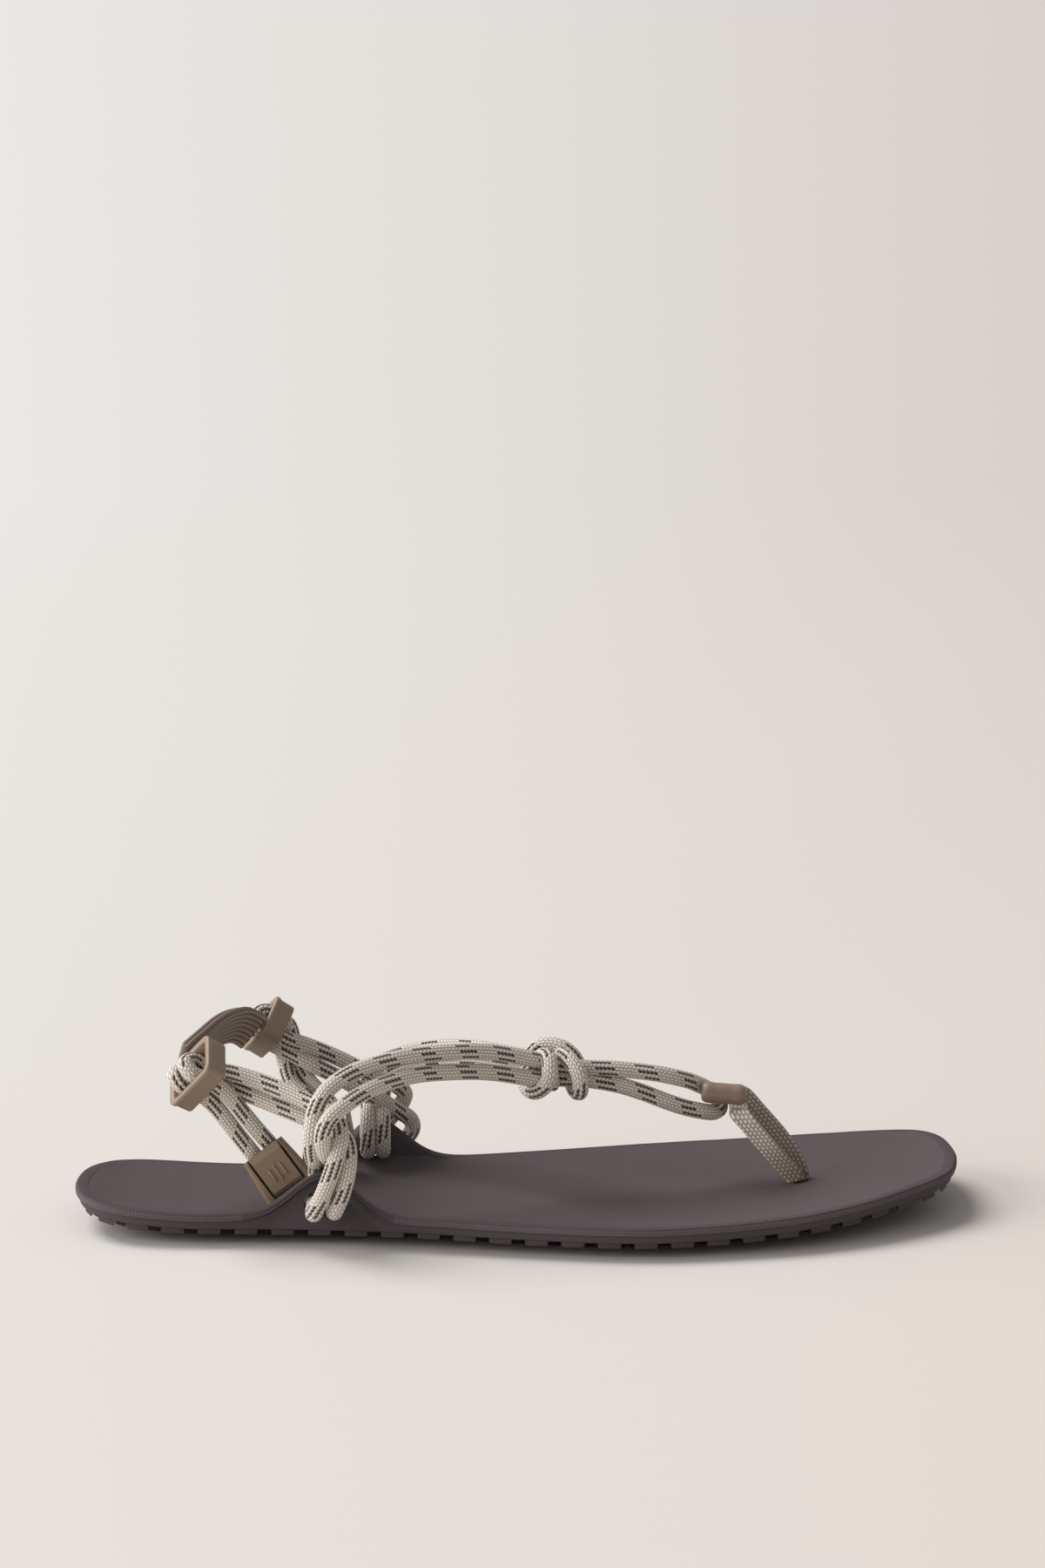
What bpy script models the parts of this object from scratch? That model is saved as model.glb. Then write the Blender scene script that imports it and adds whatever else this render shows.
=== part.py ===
"""Rope sport sandal for a right foot, standing empty on its sole.

Frame: +X to the toe, +Y to the inner (medial) side of the foot, +Z up, floor at Z = 0.
Sizes are millimetres in the tables and metres in the scene.
"""
import math

import bmesh
import bpy
from mathutils import Vector

MM = 0.001
GAP = 0.3                     # clearance between neighbouring pieces
MIDDLE_X = 0.40               # middle of the whole sandal in the construction tables
MIDDLE_Y = 5.10

# sole sizes
ROWS = 58                     # steps along each half of the outline
LUG = 1.6                     # lug depth
CAMBER = 3.0                  # the tread's edge stands this far above its middle, which is on the floor
CAMBER_WIDE = 12.0            # over this distance from the edge
RIM_Z = 6.3                   # rim crest above the lugs at the edge; table heights start from these lugs
BAND = 2.3                    # height of the raised side band
SHEET = 1.4                   # footbed thickness
DISH = 0.9                    # footbed hollow below its edge
EAR_WALL = 4.0                # ear thickness
RIM_WALL = 2.0                # rim thickness away from the ears

# outline of the rim crest: x along the foot, outer and inner edge
OUTLINE = (
    # x, lateral, medial
    (-125.0, -13.0, 10.8),
    (-121.6, -20.6, 19.0),
    (-116.0, -25.6, 25.2),
    (-107.0, -28.6, 28.0),
    (-94.0, -30.0, 27.9),
    (-80.0, -30.0, 26.6),
    (-66.0, -30.4, 27.0),
    (-54.0, -31.2, 28.6),
    (-42.0, -32.6, 30.6),
    (-30.0, -34.3, 33.0),
    (-18.0, -36.8, 35.8),
    (-6.0, -40.0, 38.6),
    (8.0, -42.8, 42.0),
    (23.0, -45.2, 46.0),
    (38.0, -45.7, 50.0),
    (53.0, -43.6, 53.0),
    (67.0, -40.2, 54.6),
    (79.0, -36.3, 55.8),
    (90.0, -31.0, 55.8),
    (101.0, -24.0, 55.0),
    (110.0, -16.2, 53.4),
    (117.6, -8.8, 50.8),
    (122.4, -2.4, 45.6),
    (125.4, 4.8, 37.0),
)
HEEL_TIP = (-126.3, -2.0)
TOE_TIP = (127.1, 20.0)

# rise of the tread off the floor at heel and toe
RISE = (
    # x, rise
    (-128.0, 2.6),
    (-122.0, 2.1),
    (-114.0, 1.3),
    (-104.0, 0.6),
    (-94.0, 0.1),
    (-88.0, 0.0),
    (44.0, 0.0),
    (60.0, 0.25),
    (80.0, 1.0),
    (95.0, 2.0),
    (106.0, 3.0),
    (118.0, 4.1),
    (130.0, 5.1),
)

# ears: bell-shaped rises of the rim, one each side
EARS = {
    # side: middle x, height over rim, spread to heel and to toe, then the slot's middle, length and height
    "lateral": dict(
        x=-54.5, height=13.0, heel=13.0, toe=11.0, slot_x=-54.8, slot_z=9.5, slot=12.0, slot_high=6.4
    ),
    "medial": dict(
        x=-42.0, height=13.0, heel=10.5, toe=12.5, slot_x=-41.7, slot_z=9.8, slot=10.0, slot_high=5.8
    ),
}

# lugs: which strips across the tread carry a lug on even and on odd rows
STRIPS = (0.0, 0.15, 0.31, 0.44, 0.56, 0.69, 0.85, 1.0)
TOP_STRIPS = (0.0, 0.12, 0.36, 0.64, 0.88, 1.0)   # rows across the footbed's face
UNDER_STRIPS = (0.0, 0.12, 0.88, 1.0)             # rows across the hidden faces under it
LUG_EVEN = (0, 2, 4, 6)
LUG_ODD = (1, 3, 5)
LUG_TAPER = 0.92
LUG_SHARE = 0.64              # length of an even row in each pair of rows

# cord
CORD_R = 2.3
CORD_SIDES_STEP = 2           # bevel resolution, eight sides
CORD_STEP = 7.4               # longest straight step along a cord
CORD_TURN = 28.0              # degrees of bend per step

# cord routes, hand-chosen points from the knot outwards
ROUTES = {
    "lateral_front": (
        (12.0, 1.0, 42.6), (3.5, -1.8, 45.0), (-8.7, -7.5, 48.4), (-20.6, -15.0, 50.0), (-32.5, -22.0, 50.2),
        (-43.9, -29.0, 48.7), (-50.0, -33.4, 46.6), (-54.4, -36.7, 43.4), (-57.0, -38.8, 38.8),
        (-58.0, -39.6, 33.4), (-58.3, -38.0, 28.0), (-57.8, -35.2, 23.9), (-57.4, -30.8, 22.3),
        (-57.3, -26.0, 19.2), (-57.4, -24.6, 14.0), (-57.5, -26.6, 10.2), (-57.7, -31.0, 9.2),
        (-57.8, -35.6, 8.1), (-57.4, -38.4, 9.0), (-56.2, -39.8, 12.0), (-54.6, -40.6, 15.6),
        (-52.6, -41.3, 21.0), (-50.9, -41.0, 26.4), (-49.9, -38.8, 30.8), (-50.7, -35.4, 34.4),
        (-54.0, -31.4, 36.8),
        (-60.0, -27.6, 38.8), (-67.1, -24.0, 41.3), (-74.9, -20.6, 43.4), (-81.6, -18.4, 44.8),
        (-86.9, -18.6, 45.6), (-90.1, -20.0, 47.5), (-92.7, -21.0, 49.1), (-94.4, -23.9, 48.6),
        (-92.5, -25.4, 46.2), (-89.9, -24.2, 44.7), (-86.7, -22.8, 42.8), (-82.3, -20.6, 38.6),
        (-77.8, -18.6, 32.4), (-74.1, -17.2, 27.4), (-71.0, -16.2, 23.5), (-68.8, -16.7, 20.6),
    ),
    "lateral_rear": (
        (12.0, -1.0, 37.2), (3.5, -3.6, 39.6), (-8.7, -9.4, 42.8), (-20.6, -17.0, 44.6), (-30.0, -23.6, 45.2),
        (-38.6, -30.6, 44.3), (-44.4, -35.6, 42.6), (-49.0, -39.4, 40.2), (-52.8, -42.2, 37.4),
        (-54.7, -43.0, 33.8), (-54.9, -41.4, 29.8), (-54.2, -37.8, 25.8), (-52.8, -34.0, 23.4),
        (-52.4, -30.6, 22.4), (-52.2, -26.0, 19.2), (-52.0, -24.6, 14.0), (-51.9, -26.6, 10.2),
        (-51.9, -31.0, 9.3), (-52.0, -35.5, 8.5), (-51.6, -38.0, 9.5), (-50.4, -39.0, 12.4),
        (-49.2, -39.4, 15.8), (-48.1, -39.2, 20.2), (-47.6, -37.9, 24.6), (-48.3, -34.6, 28.6),
        (-52.0, -29.4, 31.2), (-60.4, -25.2, 33.4),
        (-67.2, -22.0, 35.4), (-75.1, -18.6, 37.8), (-82.4, -16.2, 40.2), (-90.1, -16.0, 41.9),
        (-93.3, -17.6, 43.7), (-95.9, -18.7, 45.3), (-97.5, -21.5, 44.8), (-95.7, -23.0, 42.4),
        (-93.1, -21.8, 40.9), (-89.9, -20.6, 38.9), (-86.4, -19.4, 35.4), (-82.9, -18.4, 30.6),
        (-78.9, -17.6, 25.0), (-75.4, -17.0, 20.3), (-73.2, -17.5, 17.5),
    ),
    "medial_front": (
        (12.0, 3.6, 43.0), (5.4, 6.8, 43.2), (-4.1, 13.6, 43.2), (-11.2, 19.8, 43.0), (-18.6, 26.0, 42.0),
        (-26.1, 31.2, 40.2), (-33.6, 35.4, 37.6), (-40.0, 38.4, 34.4), (-44.2, 39.4, 30.6),
        (-45.6, 38.0, 26.4), (-44.8, 34.6, 23.4), (-44.0, 30.2, 22.6), (-43.8, 25.6, 20.0),
        (-43.8, 23.8, 14.6), (-43.8, 25.4, 10.8), (-43.9, 29.8, 9.9), (-43.8, 34.4, 9.4),
        (-42.4, 37.2, 11.4), (-39.0, 38.6, 15.6), (-35.0, 38.6, 20.4), (-33.2, 36.2, 25.0),
        (-35.6, 32.4, 28.6), (-40.6, 29.8, 31.8), (-46.6, 28.0, 35.0), (-53.8, 26.2, 39.0),
        (-61.4, 23.6, 42.8), (-67.3, 20.8, 45.3), (-71.8, 20.0, 48.4), (-74.4, 19.8, 50.2),
        (-75.5, 21.4, 52.7), (-73.0, 23.1, 53.0), (-70.4, 23.5, 51.2), (-67.1, 24.8, 48.8),
        (-65.8, 27.0, 44.4), (-64.6, 27.4, 37.6), (-60.8, 23.4, 32.0), (-55.8, 18.2, 28.2),
        (-53.0, 15.5, 24.4), (-52.5, 15.8, 19.1),
    ),
    "medial_rear": (
        (12.0, 5.0, 37.8), (5.4, 8.6, 38.0), (-4.1, 15.2, 38.0), (-11.2, 21.2, 37.8), (-18.6, 27.0, 36.8),
        (-26.0, 31.8, 35.2), (-32.4, 35.4, 33.0), (-37.0, 37.8, 30.2), (-39.2, 37.8, 26.8),
        (-39.8, 34.8, 23.8), (-39.5, 30.4, 22.8), (-39.5, 25.8, 20.0), (-39.5, 24.0, 14.6),
        (-39.5, 25.6, 10.8), (-39.5, 30.0, 9.9), (-39.0, 34.8, 9.2), (-36.4, 38.0, 9.4),
        (-33.0, 39.4, 10.8), (-31.0, 38.2, 14.0), (-31.6, 34.8, 17.8), (-35.2, 31.0, 21.4),
        (-41.2, 27.2, 26.0), (-47.4, 24.6, 30.2), (-53.4, 23.4, 33.8), (-60.0, 22.8, 37.4),
        (-67.0, 23.9, 40.8), (-70.8, 23.9, 42.7), (-74.4, 23.5, 45.2), (-77.0, 23.2, 47.0),
        (-78.1, 24.9, 49.5), (-75.6, 26.7, 49.8), (-73.0, 27.0, 48.0), (-70.7, 27.1, 46.0),
        (-68.7, 27.4, 39.8), (-66.2, 21.8, 32.4), (-60.8, 16.8, 28.6), (-58.5, 15.2, 24.9),
        (-58.0, 15.8, 19.1),
    ),
    "toe_upper": (
        (7.0, 0.0, 43.0), (14.0, 0.6, 42.0), (20.0, 1.2, 41.5), (26.4, 2.2, 41.1), (33.0, 3.6, 40.2),
        (39.8, 5.0, 39.0), (45.4, 7.0, 37.4), (49.6, 10.0, 35.6), (52.2, 13.4, 33.8), (54.6, 16.2, 32.0),
        (57.4, 17.2, 29.8),
    ),
    "toe_lower": (
        (7.0, 0.4, 38.6), (14.0, 0.8, 38.4), (20.4, 1.2, 38.0), (29.2, 2.5, 36.1), (35.8, 3.6, 33.8),
        (41.6, 4.6, 31.3), (47.4, 6.0, 28.9), (53.0, 8.2, 27.0), (57.0, 11.2, 25.9), (59.0, 14.6, 26.6),
        (58.0, 17.0, 29.2),
    ),
    "knot_arch": (
        (4.0, 5.6, 41.0), (4.4, 6.2, 44.6), (7.6, 6.2, 47.0), (12.4, 5.0, 46.8), (16.0, 3.8, 44.4),
        (17.4, 3.2, 41.2), (16.6, 3.4, 38.0),
    ),
    "knot_left": (
        (6.6, 3.2, 44.6), (8.8, -1.8, 45.2), (9.4, -5.0, 42.6), (9.0, -5.8, 39.4), (6.8, -4.8, 36.6),
        (4.4, -2.4, 35.4), (2.6, 1.4, 36.2), (2.4, 5.0, 38.4), (4.0, 6.2, 41.0),
    ),
    "knot_right": (
        (12.0, 4.0, 44.8), (14.6, -1.2, 44.8), (17.4, -4.4, 41.8), (18.2, -5.0, 38.2), (18.0, -3.0, 35.4),
        (16.8, 1.0, 35.0), (15.6, 4.0, 37.2),
    ),
}

# heel rings: middle, cord direction, long side and its outer size
RINGS = {
    "lateral": dict(at=(-91.0, -21.2, 45.1), along=(0.81, 0.35, -0.475),
                    wide=(-0.59, 0.42, -0.69), size=19.2),
    "medial": dict(at=(-72.5, 23.6, 48.1), along=(0.82, 0.10, -0.55),
                   wide=(-0.48, 0.65, -0.59), size=14.2),
}
RING_TALL = 13.9
RING_DEEP = 6.4
RING_WALL = 1.7
RING_ROUND = 2.6

# cord locks: middle of the panel face, direction of the cord, outward face
LOCKS = {
    "lateral": dict(at=(-68.4, -22.4, 16.7), along=(-0.60, 0.16, 0.785), out=(0.0, -0.966, 0.259)),
    "medial": dict(at=(-55.0, 21.0, 16.8), along=(-0.06, -0.16, 0.985), out=(0.0, 0.966, 0.259)),
}
LOCK_WIDE = 16.0              # at the foot
LOCK_TOP_WIDE = 13.4          # at the cord's mouth
LOCK_LONG = 15.0
LOCK_FOOT_CUT = 1.4           # housing stops this short of the panel's foot
LOCK_PANEL_WIDE = 9.6
LOCK_PANEL_THICK = 1.6
LOCK_SLOT = 0.7
LOCK_BACK = 1.4
LOCK_CHANNEL = 7.7

# heel strap route with its outer normal, band size
STRAP_ROUTE = (
    # x, y, z, normal x, normal y, normal z
    (-96.5, -11.6, 46.5, -0.82, 0.37, 0.43),
    (-95.3, -9.1, 47.5, -0.82, 0.37, 0.43),
    (-91.4, -3.2, 49.8, -0.82, 0.37, 0.43),
    (-88.0, 2.3, 51.7, -0.81, 0.38, 0.44),
    (-85.0, 7.5, 52.4, -0.77, 0.45, 0.45),
    (-81.8, 12.7, 52.1, -0.69, 0.58, 0.44),
    (-79.3, 15.6, 50.6, -0.61, 0.69, 0.39),
    (-77.4, 17.4, 48.8, -0.55, 0.76, 0.34),
)
TAB_ROWS = slice(1, 6)        # rows of the strap that carry the tab
STRAP_WIDE = 12.0
STRAP_THICK = 2.0
TAB_WIDE = 9.0
TAB_THICK = 1.3
TAB_LIFT = 0.6

# toe bead and toe webbing
BEAD_AT = (59.9, 9.2, 31.9)
BEAD_SIZE = (12.8, 6.4, 6.0)
BEAD_TILT = 5.0               # degrees, nose down to the toe
WEB_ROUTE = (
    # x, y, z, face normal x, y, z: near leg up, under and behind the bead, far leg down
    (81.0, 6.0, 6.6, 0.0, -1.0, 0.0),
    (80.2, 6.0, 8.4, -0.1, -1.0, -0.1),
    (75.6, 6.2, 13.4, -0.2, -0.95, -0.2),
    (70.6, 6.4, 19.2, -0.2, -0.95, -0.2),
    (66.6, 6.8, 24.0, -0.2, -0.93, -0.1),
    (64.4, 8.4, 26.2, -0.1, -0.75, 0.6),
    (64.5, 11.4, 26.2, 0.0, -0.4, 0.9),
    (64.4, 14.2, 27.6, 0.0, -0.8, 0.55),
    (64.8, 15.0, 29.8, 0.0, -1.0, 0.1),
    (66.2, 14.6, 29.6, 0.0, -1.0, 0.1),
    (69.9, 13.6, 25.6, 0.1, -1.0, 0.1),
    (75.9, 11.6, 19.0, 0.1, -1.0, 0.1),
    (79.8, 10.0, 13.5, 0.1, -1.0, 0.1),
    (82.0, 8.9, 8.6, 0.0, -1.0, 0.0),
    (82.2, 8.8, 6.6, 0.0, -1.0, 0.0),
)
WEB_WIDE = 5.4
WEB_THICK = 2.0
TOE_HOLE = (81.5, 7.4)
TOE_HOLE_SIZE = (7.4, 9.4)

for old in list(bpy.data.objects):
    bpy.data.objects.remove(old, do_unlink=True)


def material(name, red, green, blue, roughness):
    mat = bpy.data.materials.new(name)
    mat.use_nodes = True
    shader = mat.node_tree.nodes["Principled BSDF"]
    shader.inputs["Base Color"].default_value = (red, green, blue, 1.0)
    shader.inputs["Roughness"].default_value = roughness
    return mat


MAT_RUBBER = material("sole rubber", 0.085, 0.072, 0.070, 0.75)
MAT_FOOTBED = material("footbed sheet", 0.11, 0.092, 0.088, 0.70)
MAT_CORD = material("braided cord", 0.60, 0.54, 0.47, 0.85)
MAT_WEB = material("woven tape", 0.55, 0.47, 0.39, 0.85)
MAT_PLASTIC = material("brown plastic", 0.26, 0.19, 0.14, 0.45)
MAT_STRAP = material("heel band weave", 0.24, 0.16, 0.12, 0.85)


def table(rows, x, column):
    """Smooth value of one table column at x."""
    if x <= rows[0][0]:
        return rows[0][column]
    for low, high in zip(rows, rows[1:]):
        if x <= high[0]:
            share = (x - low[0]) / (high[0] - low[0])
            share = share * share * (3 - 2 * share) * 0.4 + share * 0.6
            return low[column] + (high[column] - low[column]) * share
    return rows[-1][column]


def rise(x):
    return table(RISE, x, 1)


def ear_height(x, y):
    ear = EARS["lateral" if y < 0 else "medial"]
    spread = ear["heel"] if x < ear["x"] else ear["toe"]
    return ear["height"] * math.exp(-((x - ear["x"]) / spread) ** 2)


def world(x, y, z):
    return Vector(((x - MIDDLE_X) * MM, (y - MIDDLE_Y) * MM, (z + CAMBER) * MM))


def finish(name, bm, mat):
    bmesh.ops.recalc_face_normals(bm, faces=bm.faces[:])
    mesh = bpy.data.meshes.new(name)
    bm.to_mesh(mesh)
    bm.free()
    obj = bpy.data.objects.new(name, mesh)
    bpy.context.scene.collection.objects.link(obj)
    mesh.materials.append(mat)
    return obj


def smooth(points, closed=False, steps=14):
    """Dense Catmull-Rom curve through hand-chosen points."""
    pts = [Vector(p) for p in points]
    count = len(pts)
    dense = []
    for i in range(count if closed else count - 1):
        if closed:
            a, b, c, d = (pts[(i + k) % count] for k in (-1, 0, 1, 2))
        else:
            b, c = pts[i], pts[i + 1]
            a = pts[i - 1] if i else b + (b - c)
            d = pts[i + 2] if i + 2 < count else c + (c - b)
        for s in range(steps):
            t = s / steps
            dense.append(0.5 * (2 * b + (c - a) * t + (2 * a - 5 * b + 4 * c - d) * t ** 2
                                + (3 * b - a - 3 * c + d) * t ** 3))
    if not closed:
        dense.append(pts[-1])
    return dense


def evenly(points, parts, share=0.5):
    """Points along a polyline, in pairs of steps of which the first takes the given share."""
    lengths = [0.0]
    for a, b in zip(points, points[1:]):
        lengths.append(lengths[-1] + (b - a).length)
    out = []
    j = 0
    for k in range(parts + 1):
        want = lengths[-1] * (k + (2 * share - 1) * (k % 2)) / parts
        while j < len(lengths) - 2 and lengths[j + 1] < want:
            j += 1
        part = (want - lengths[j]) / max(lengths[j + 1] - lengths[j], 1e-9)
        out.append(points[j].lerp(points[j + 1], part))
    return out


def outline_loop():
    """Rim crest as a loop: heel tip, lateral side, toe tip, medial side back to the heel."""
    lateral = [Vector((row[0], row[1], 0)) for row in OUTLINE]
    medial = [Vector((row[0], row[2], 0)) for row in reversed(OUTLINE)]
    ring = [Vector((*HEEL_TIP, 0))] + lateral + [Vector((*TOE_TIP, 0))] + medial
    dense = smooth(ring, closed=True)
    toe = 14 * (len(lateral) + 1)
    first = evenly(dense[:toe + 1], ROWS, LUG_SHARE)
    second = evenly(dense[toe:] + dense[:1], ROWS, 1 - LUG_SHARE)
    return first[:-1] + second[:-1]


LOOP = outline_loop()
COUNT = len(LOOP)
NORMALS = []
for i in range(COUNT):
    tangent = LOOP[(i + 1) % COUNT] - LOOP[i - 1]
    NORMALS.append(Vector((tangent.y, -tangent.x, 0)).normalized())


def ear_share(i):
    return min(1.0, ear_height(LOOP[i].x, LOOP[i].y) / 3.0)


def ring_points(offset, height):
    """One loop of the section: offset(i) outward from the crest, height(i) above the floor."""
    out = []
    for i, (p, n) in enumerate(zip(LOOP, NORMALS)):
        q = p + n * offset(i)
        out.append((q.x, q.y, height(i)))
    return out


def crest(i):
    return RIM_Z + rise(LOOP[i].x) + ear_height(LOOP[i].x, LOOP[i].y)


def base(i):
    return rise(LOOP[i].x)


def wall_foot(i):
    return -(RIM_WALL + (EAR_WALL - RIM_WALL) * ear_share(i))


def add_ring(bm, points):
    return [bm.verts.new(world(*p)) for p in points]


def bridge(bm, low, high):
    count = len(low)
    for i in range(count):
        j = (i + 1) % count
        bm.faces.new((low[i], low[j], high[j], high[i]))


def ladder(bm, ring, points, strips, height):
    """Close a loop with rows across from the lateral to the medial side; faces keyed by row and strip."""
    rows = [[ring[0]] * len(strips)]
    for k in range(1, ROWS):
        a, b = Vector(points[k]), Vector(points[COUNT - k])
        row = [ring[k]]
        for f in strips[1:-1]:
            q = a.lerp(b, f)
            row.append(bm.verts.new(world(q.x, q.y, height(q.x, f, a.z, b.z))))
        row.append(ring[COUNT - k])
        rows.append(row)
    rows.append([ring[ROWS]] * len(strips))
    faces = {}
    for k in range(ROWS):
        for j in range(len(strips) - 1):
            corners = []
            for v in (rows[k][j], rows[k][j + 1], rows[k + 1][j + 1], rows[k + 1][j]):
                if v not in corners:
                    corners.append(v)
            faces[k, j] = bm.faces.new(corners)
    return faces


def hollow(x, f, left, right):
    """Dished surface between two edge heights."""
    edge = left + (right - left) * f
    return edge - DISH * (1 - (2 * f - 1) ** 4)


def sheet_edge(i):
    return RIM_Z + rise(LOOP[i].x) - 0.35


def cut(obj, cutter):
    mod = obj.modifiers.new("cut", "BOOLEAN")
    mod.operation = "DIFFERENCE"
    mod.solver = "EXACT"
    mod.object = cutter
    cutter.hide_render = True
    cutter.display_type = "WIRE"


def slot_cutter(name, centre, long, high, depth, axis):
    """Rounded slot: long by high, cut along axis Y or Z."""
    bm = bmesh.new()
    profile = []
    radius = high / 2
    for end, start in ((1, -90), (-1, 90)):
        for step in range(7):
            angle = math.radians(start + 30 * step)
            profile.append((end * (long / 2 - radius) + radius * math.cos(angle), radius * math.sin(angle)))
    loops = []
    for side in (-depth / 2, depth / 2):
        if axis == "Y":
            pts = [(centre[0] + u, centre[1] + side, centre[2] + v) for u, v in profile]
        else:
            pts = [(centre[0] + v, centre[1] + u, centre[2] + side) for u, v in profile]
        loops.append(add_ring(bm, pts))
    bridge(bm, loops[0], loops[1])
    bm.faces.new(loops[0])
    bm.faces.new(loops[1])
    return finish(name, bm, MAT_RUBBER)


def tread(x, f, left, right):
    """Underside of the sole: highest at the edge, one level further in."""
    wide = table(OUTLINE, x, 2) - table(OUTLINE, x, 1)
    inside = min(f * wide, (1 - f) * wide, x - OUTLINE[0][0], OUTLINE[-1][0] - x)
    return rise(x) + LUG - CAMBER * min(1.0, max(0.0, inside) / CAMBER_WIDE)


def build_sole():
    bm = bmesh.new()
    sections = (
        # offset from the crest line, height
        (lambda i: -0.9, lambda i: base(i) + LUG),
        (lambda i: 0.2, lambda i: base(i) + LUG + 0.6),
        (lambda i: 0.5, lambda i: crest(i) - BAND),
        (lambda i: 1.1, lambda i: crest(i) - BAND + 0.3),
        (lambda i: 1.3, lambda i: crest(i) - 1.0),
        (lambda i: 0.5, lambda i: crest(i)),
        (lambda i: 0.35 * wall_foot(i) - 0.5, lambda i: crest(i) - 0.05),
        (lambda i: 0.8 * wall_foot(i), lambda i: crest(i) - 0.6 - 0.9 * ear_share(i)),
        (wall_foot, lambda i: sheet_edge(i) - SHEET - GAP),
    )
    rings = []
    for offset, height in sections:
        points = ring_points(offset, height)
        rings.append((add_ring(bm, points), points))
    for low, high in zip(rings, rings[1:]):
        bridge(bm, low[0], high[0])
    ladder(bm, rings[-1][0], rings[-1][1], UNDER_STRIPS, hollow)
    under = ladder(bm, rings[0][0], rings[0][1], STRIPS, tread)
    lugs = []
    for (k, j), face in under.items():
        if 2 <= k < ROWS - 2 and j in (LUG_EVEN if k % 2 == 0 else LUG_ODD):
            lugs.append(face)
    grown = bmesh.ops.extrude_discrete_faces(bm, faces=lugs)["faces"]
    for face in grown:
        middle = face.calc_center_median()
        for v in face.verts:
            v.co.x = middle.x + (v.co.x - middle.x) * LUG_TAPER
            v.co.y = middle.y + (v.co.y - middle.y) * LUG_TAPER
            v.co.z -= LUG * MM
    return finish("sole", bm, MAT_RUBBER)


def build_footbed():
    bm = bmesh.new()
    under = ring_points(lambda i: wall_foot(i) - GAP, lambda i: sheet_edge(i) - SHEET)
    over = ring_points(lambda i: wall_foot(i) - GAP, sheet_edge)
    low, high = add_ring(bm, under), add_ring(bm, over)
    bridge(bm, low, high)
    ladder(bm, low, under, UNDER_STRIPS, hollow)
    ladder(bm, high, over, TOP_STRIPS, hollow)
    return finish("footbed", bm, MAT_FOOTBED)


def cord_steps(points):
    """Thin out a smooth route: short steps round bends, long steps on straights."""
    dense = smooth(points)
    kept = [dense[0]]
    turned = 0.0
    run = 0.0
    for a, b, c in zip(dense, dense[1:], dense[2:]):
        turned += math.degrees((b - a).angle(c - b, 0.0))
        run += (b - a).length
        if turned >= CORD_TURN or run >= CORD_STEP:
            kept.append(b)
            turned = 0.0
            run = 0.0
    if (kept[-1] - dense[-1]).length < 1.5:
        kept.pop()
    kept.append(dense[-1])
    return kept


def cord(name, points, radius=CORD_R):
    """Round cord as a bevelled curve turned into a mesh."""
    route = cord_steps(points)
    curve = bpy.data.curves.new(name, "CURVE")
    curve.dimensions = "3D"
    curve.bevel_depth = radius * MM
    curve.bevel_resolution = CORD_SIDES_STEP
    curve.use_fill_caps = True
    spline = curve.splines.new("POLY")
    spline.points.add(len(route) - 1)
    for point, at in zip(spline.points, route):
        point.co = (*world(*at), 1.0)
    tube = bpy.data.objects.new(name + " route", curve)
    bpy.context.scene.collection.objects.link(tube)
    mesh = bpy.data.meshes.new_from_object(tube.evaluated_get(bpy.context.evaluated_depsgraph_get()))
    bpy.data.objects.remove(tube, do_unlink=True)
    bm = bmesh.new()
    bm.from_mesh(mesh)
    bmesh.ops.remove_doubles(bm, verts=bm.verts[:], dist=1e-6)
    return finish(name, bm, MAT_CORD)


def build_cords():
    """All cords as one solid, joined in the knot and wherever strands press together."""
    whole = None
    for name, points in ROUTES.items():
        strand = cord(name, points)
        if whole is None:
            whole = strand
            whole.name = "cord_upper"
            continue
        mod = whole.modifiers.new("join", "BOOLEAN")
        mod.operation = "UNION"
        mod.solver = "EXACT"
        mod.object = strand
        strand.hide_render = True
        strand.display_type = "WIRE"
    return whole


def frame_axes(along, side):
    a = Vector(along).normalized()
    s = Vector(side)
    s = (s - a * s.dot(a)).normalized()
    return a, s, a.cross(s)


def rounded_rectangle(wide, tall, corner, steps=4):
    pts = []
    for sx, sy, start in ((1, 1, 0), (-1, 1, 90), (-1, -1, 180), (1, -1, 270)):
        for k in range(steps):
            angle = math.radians(start + 90 * k / (steps - 1))
            pts.append((sx * (wide / 2 - corner) + corner * math.cos(angle),
                        sy * (tall / 2 - corner) + corner * math.sin(angle)))
    return pts


def build_ring(side):
    spec = RINGS[side]
    a, w, t = frame_axes(spec["along"], spec["wide"])
    at = Vector(spec["at"])
    outer = rounded_rectangle(spec["size"], RING_TALL, RING_ROUND)
    inner = rounded_rectangle(spec["size"] - 2 * RING_WALL, RING_TALL - 2 * RING_WALL, RING_ROUND - 0.9)
    bm = bmesh.new()
    loops = []
    for profile, shift in ((outer, -1), (outer, 1), (inner, 1), (inner, -1)):
        loops.append(add_ring(bm, [at + a * (shift * RING_DEEP / 2) + w * u + t * v for u, v in profile]))
    for low, high in zip(loops, loops[1:] + loops[:1]):
        bridge(bm, low, high)
    return finish("ring_" + side, bm, MAT_PLASTIC)


def prism(name, corners, a, w, o, at, low, high, mat):
    """Solid from a profile in the along-out plane, carried across from low to high."""
    bm = bmesh.new()
    loops = []
    for shift in (low, high):
        loops.append(add_ring(bm, [at + a * u + o * v + w * shift for u, v in corners]))
    bridge(bm, loops[0], loops[1])
    bm.faces.new(loops[0])
    bm.faces.new(loops[1])
    return finish(name, bm, mat)


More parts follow.
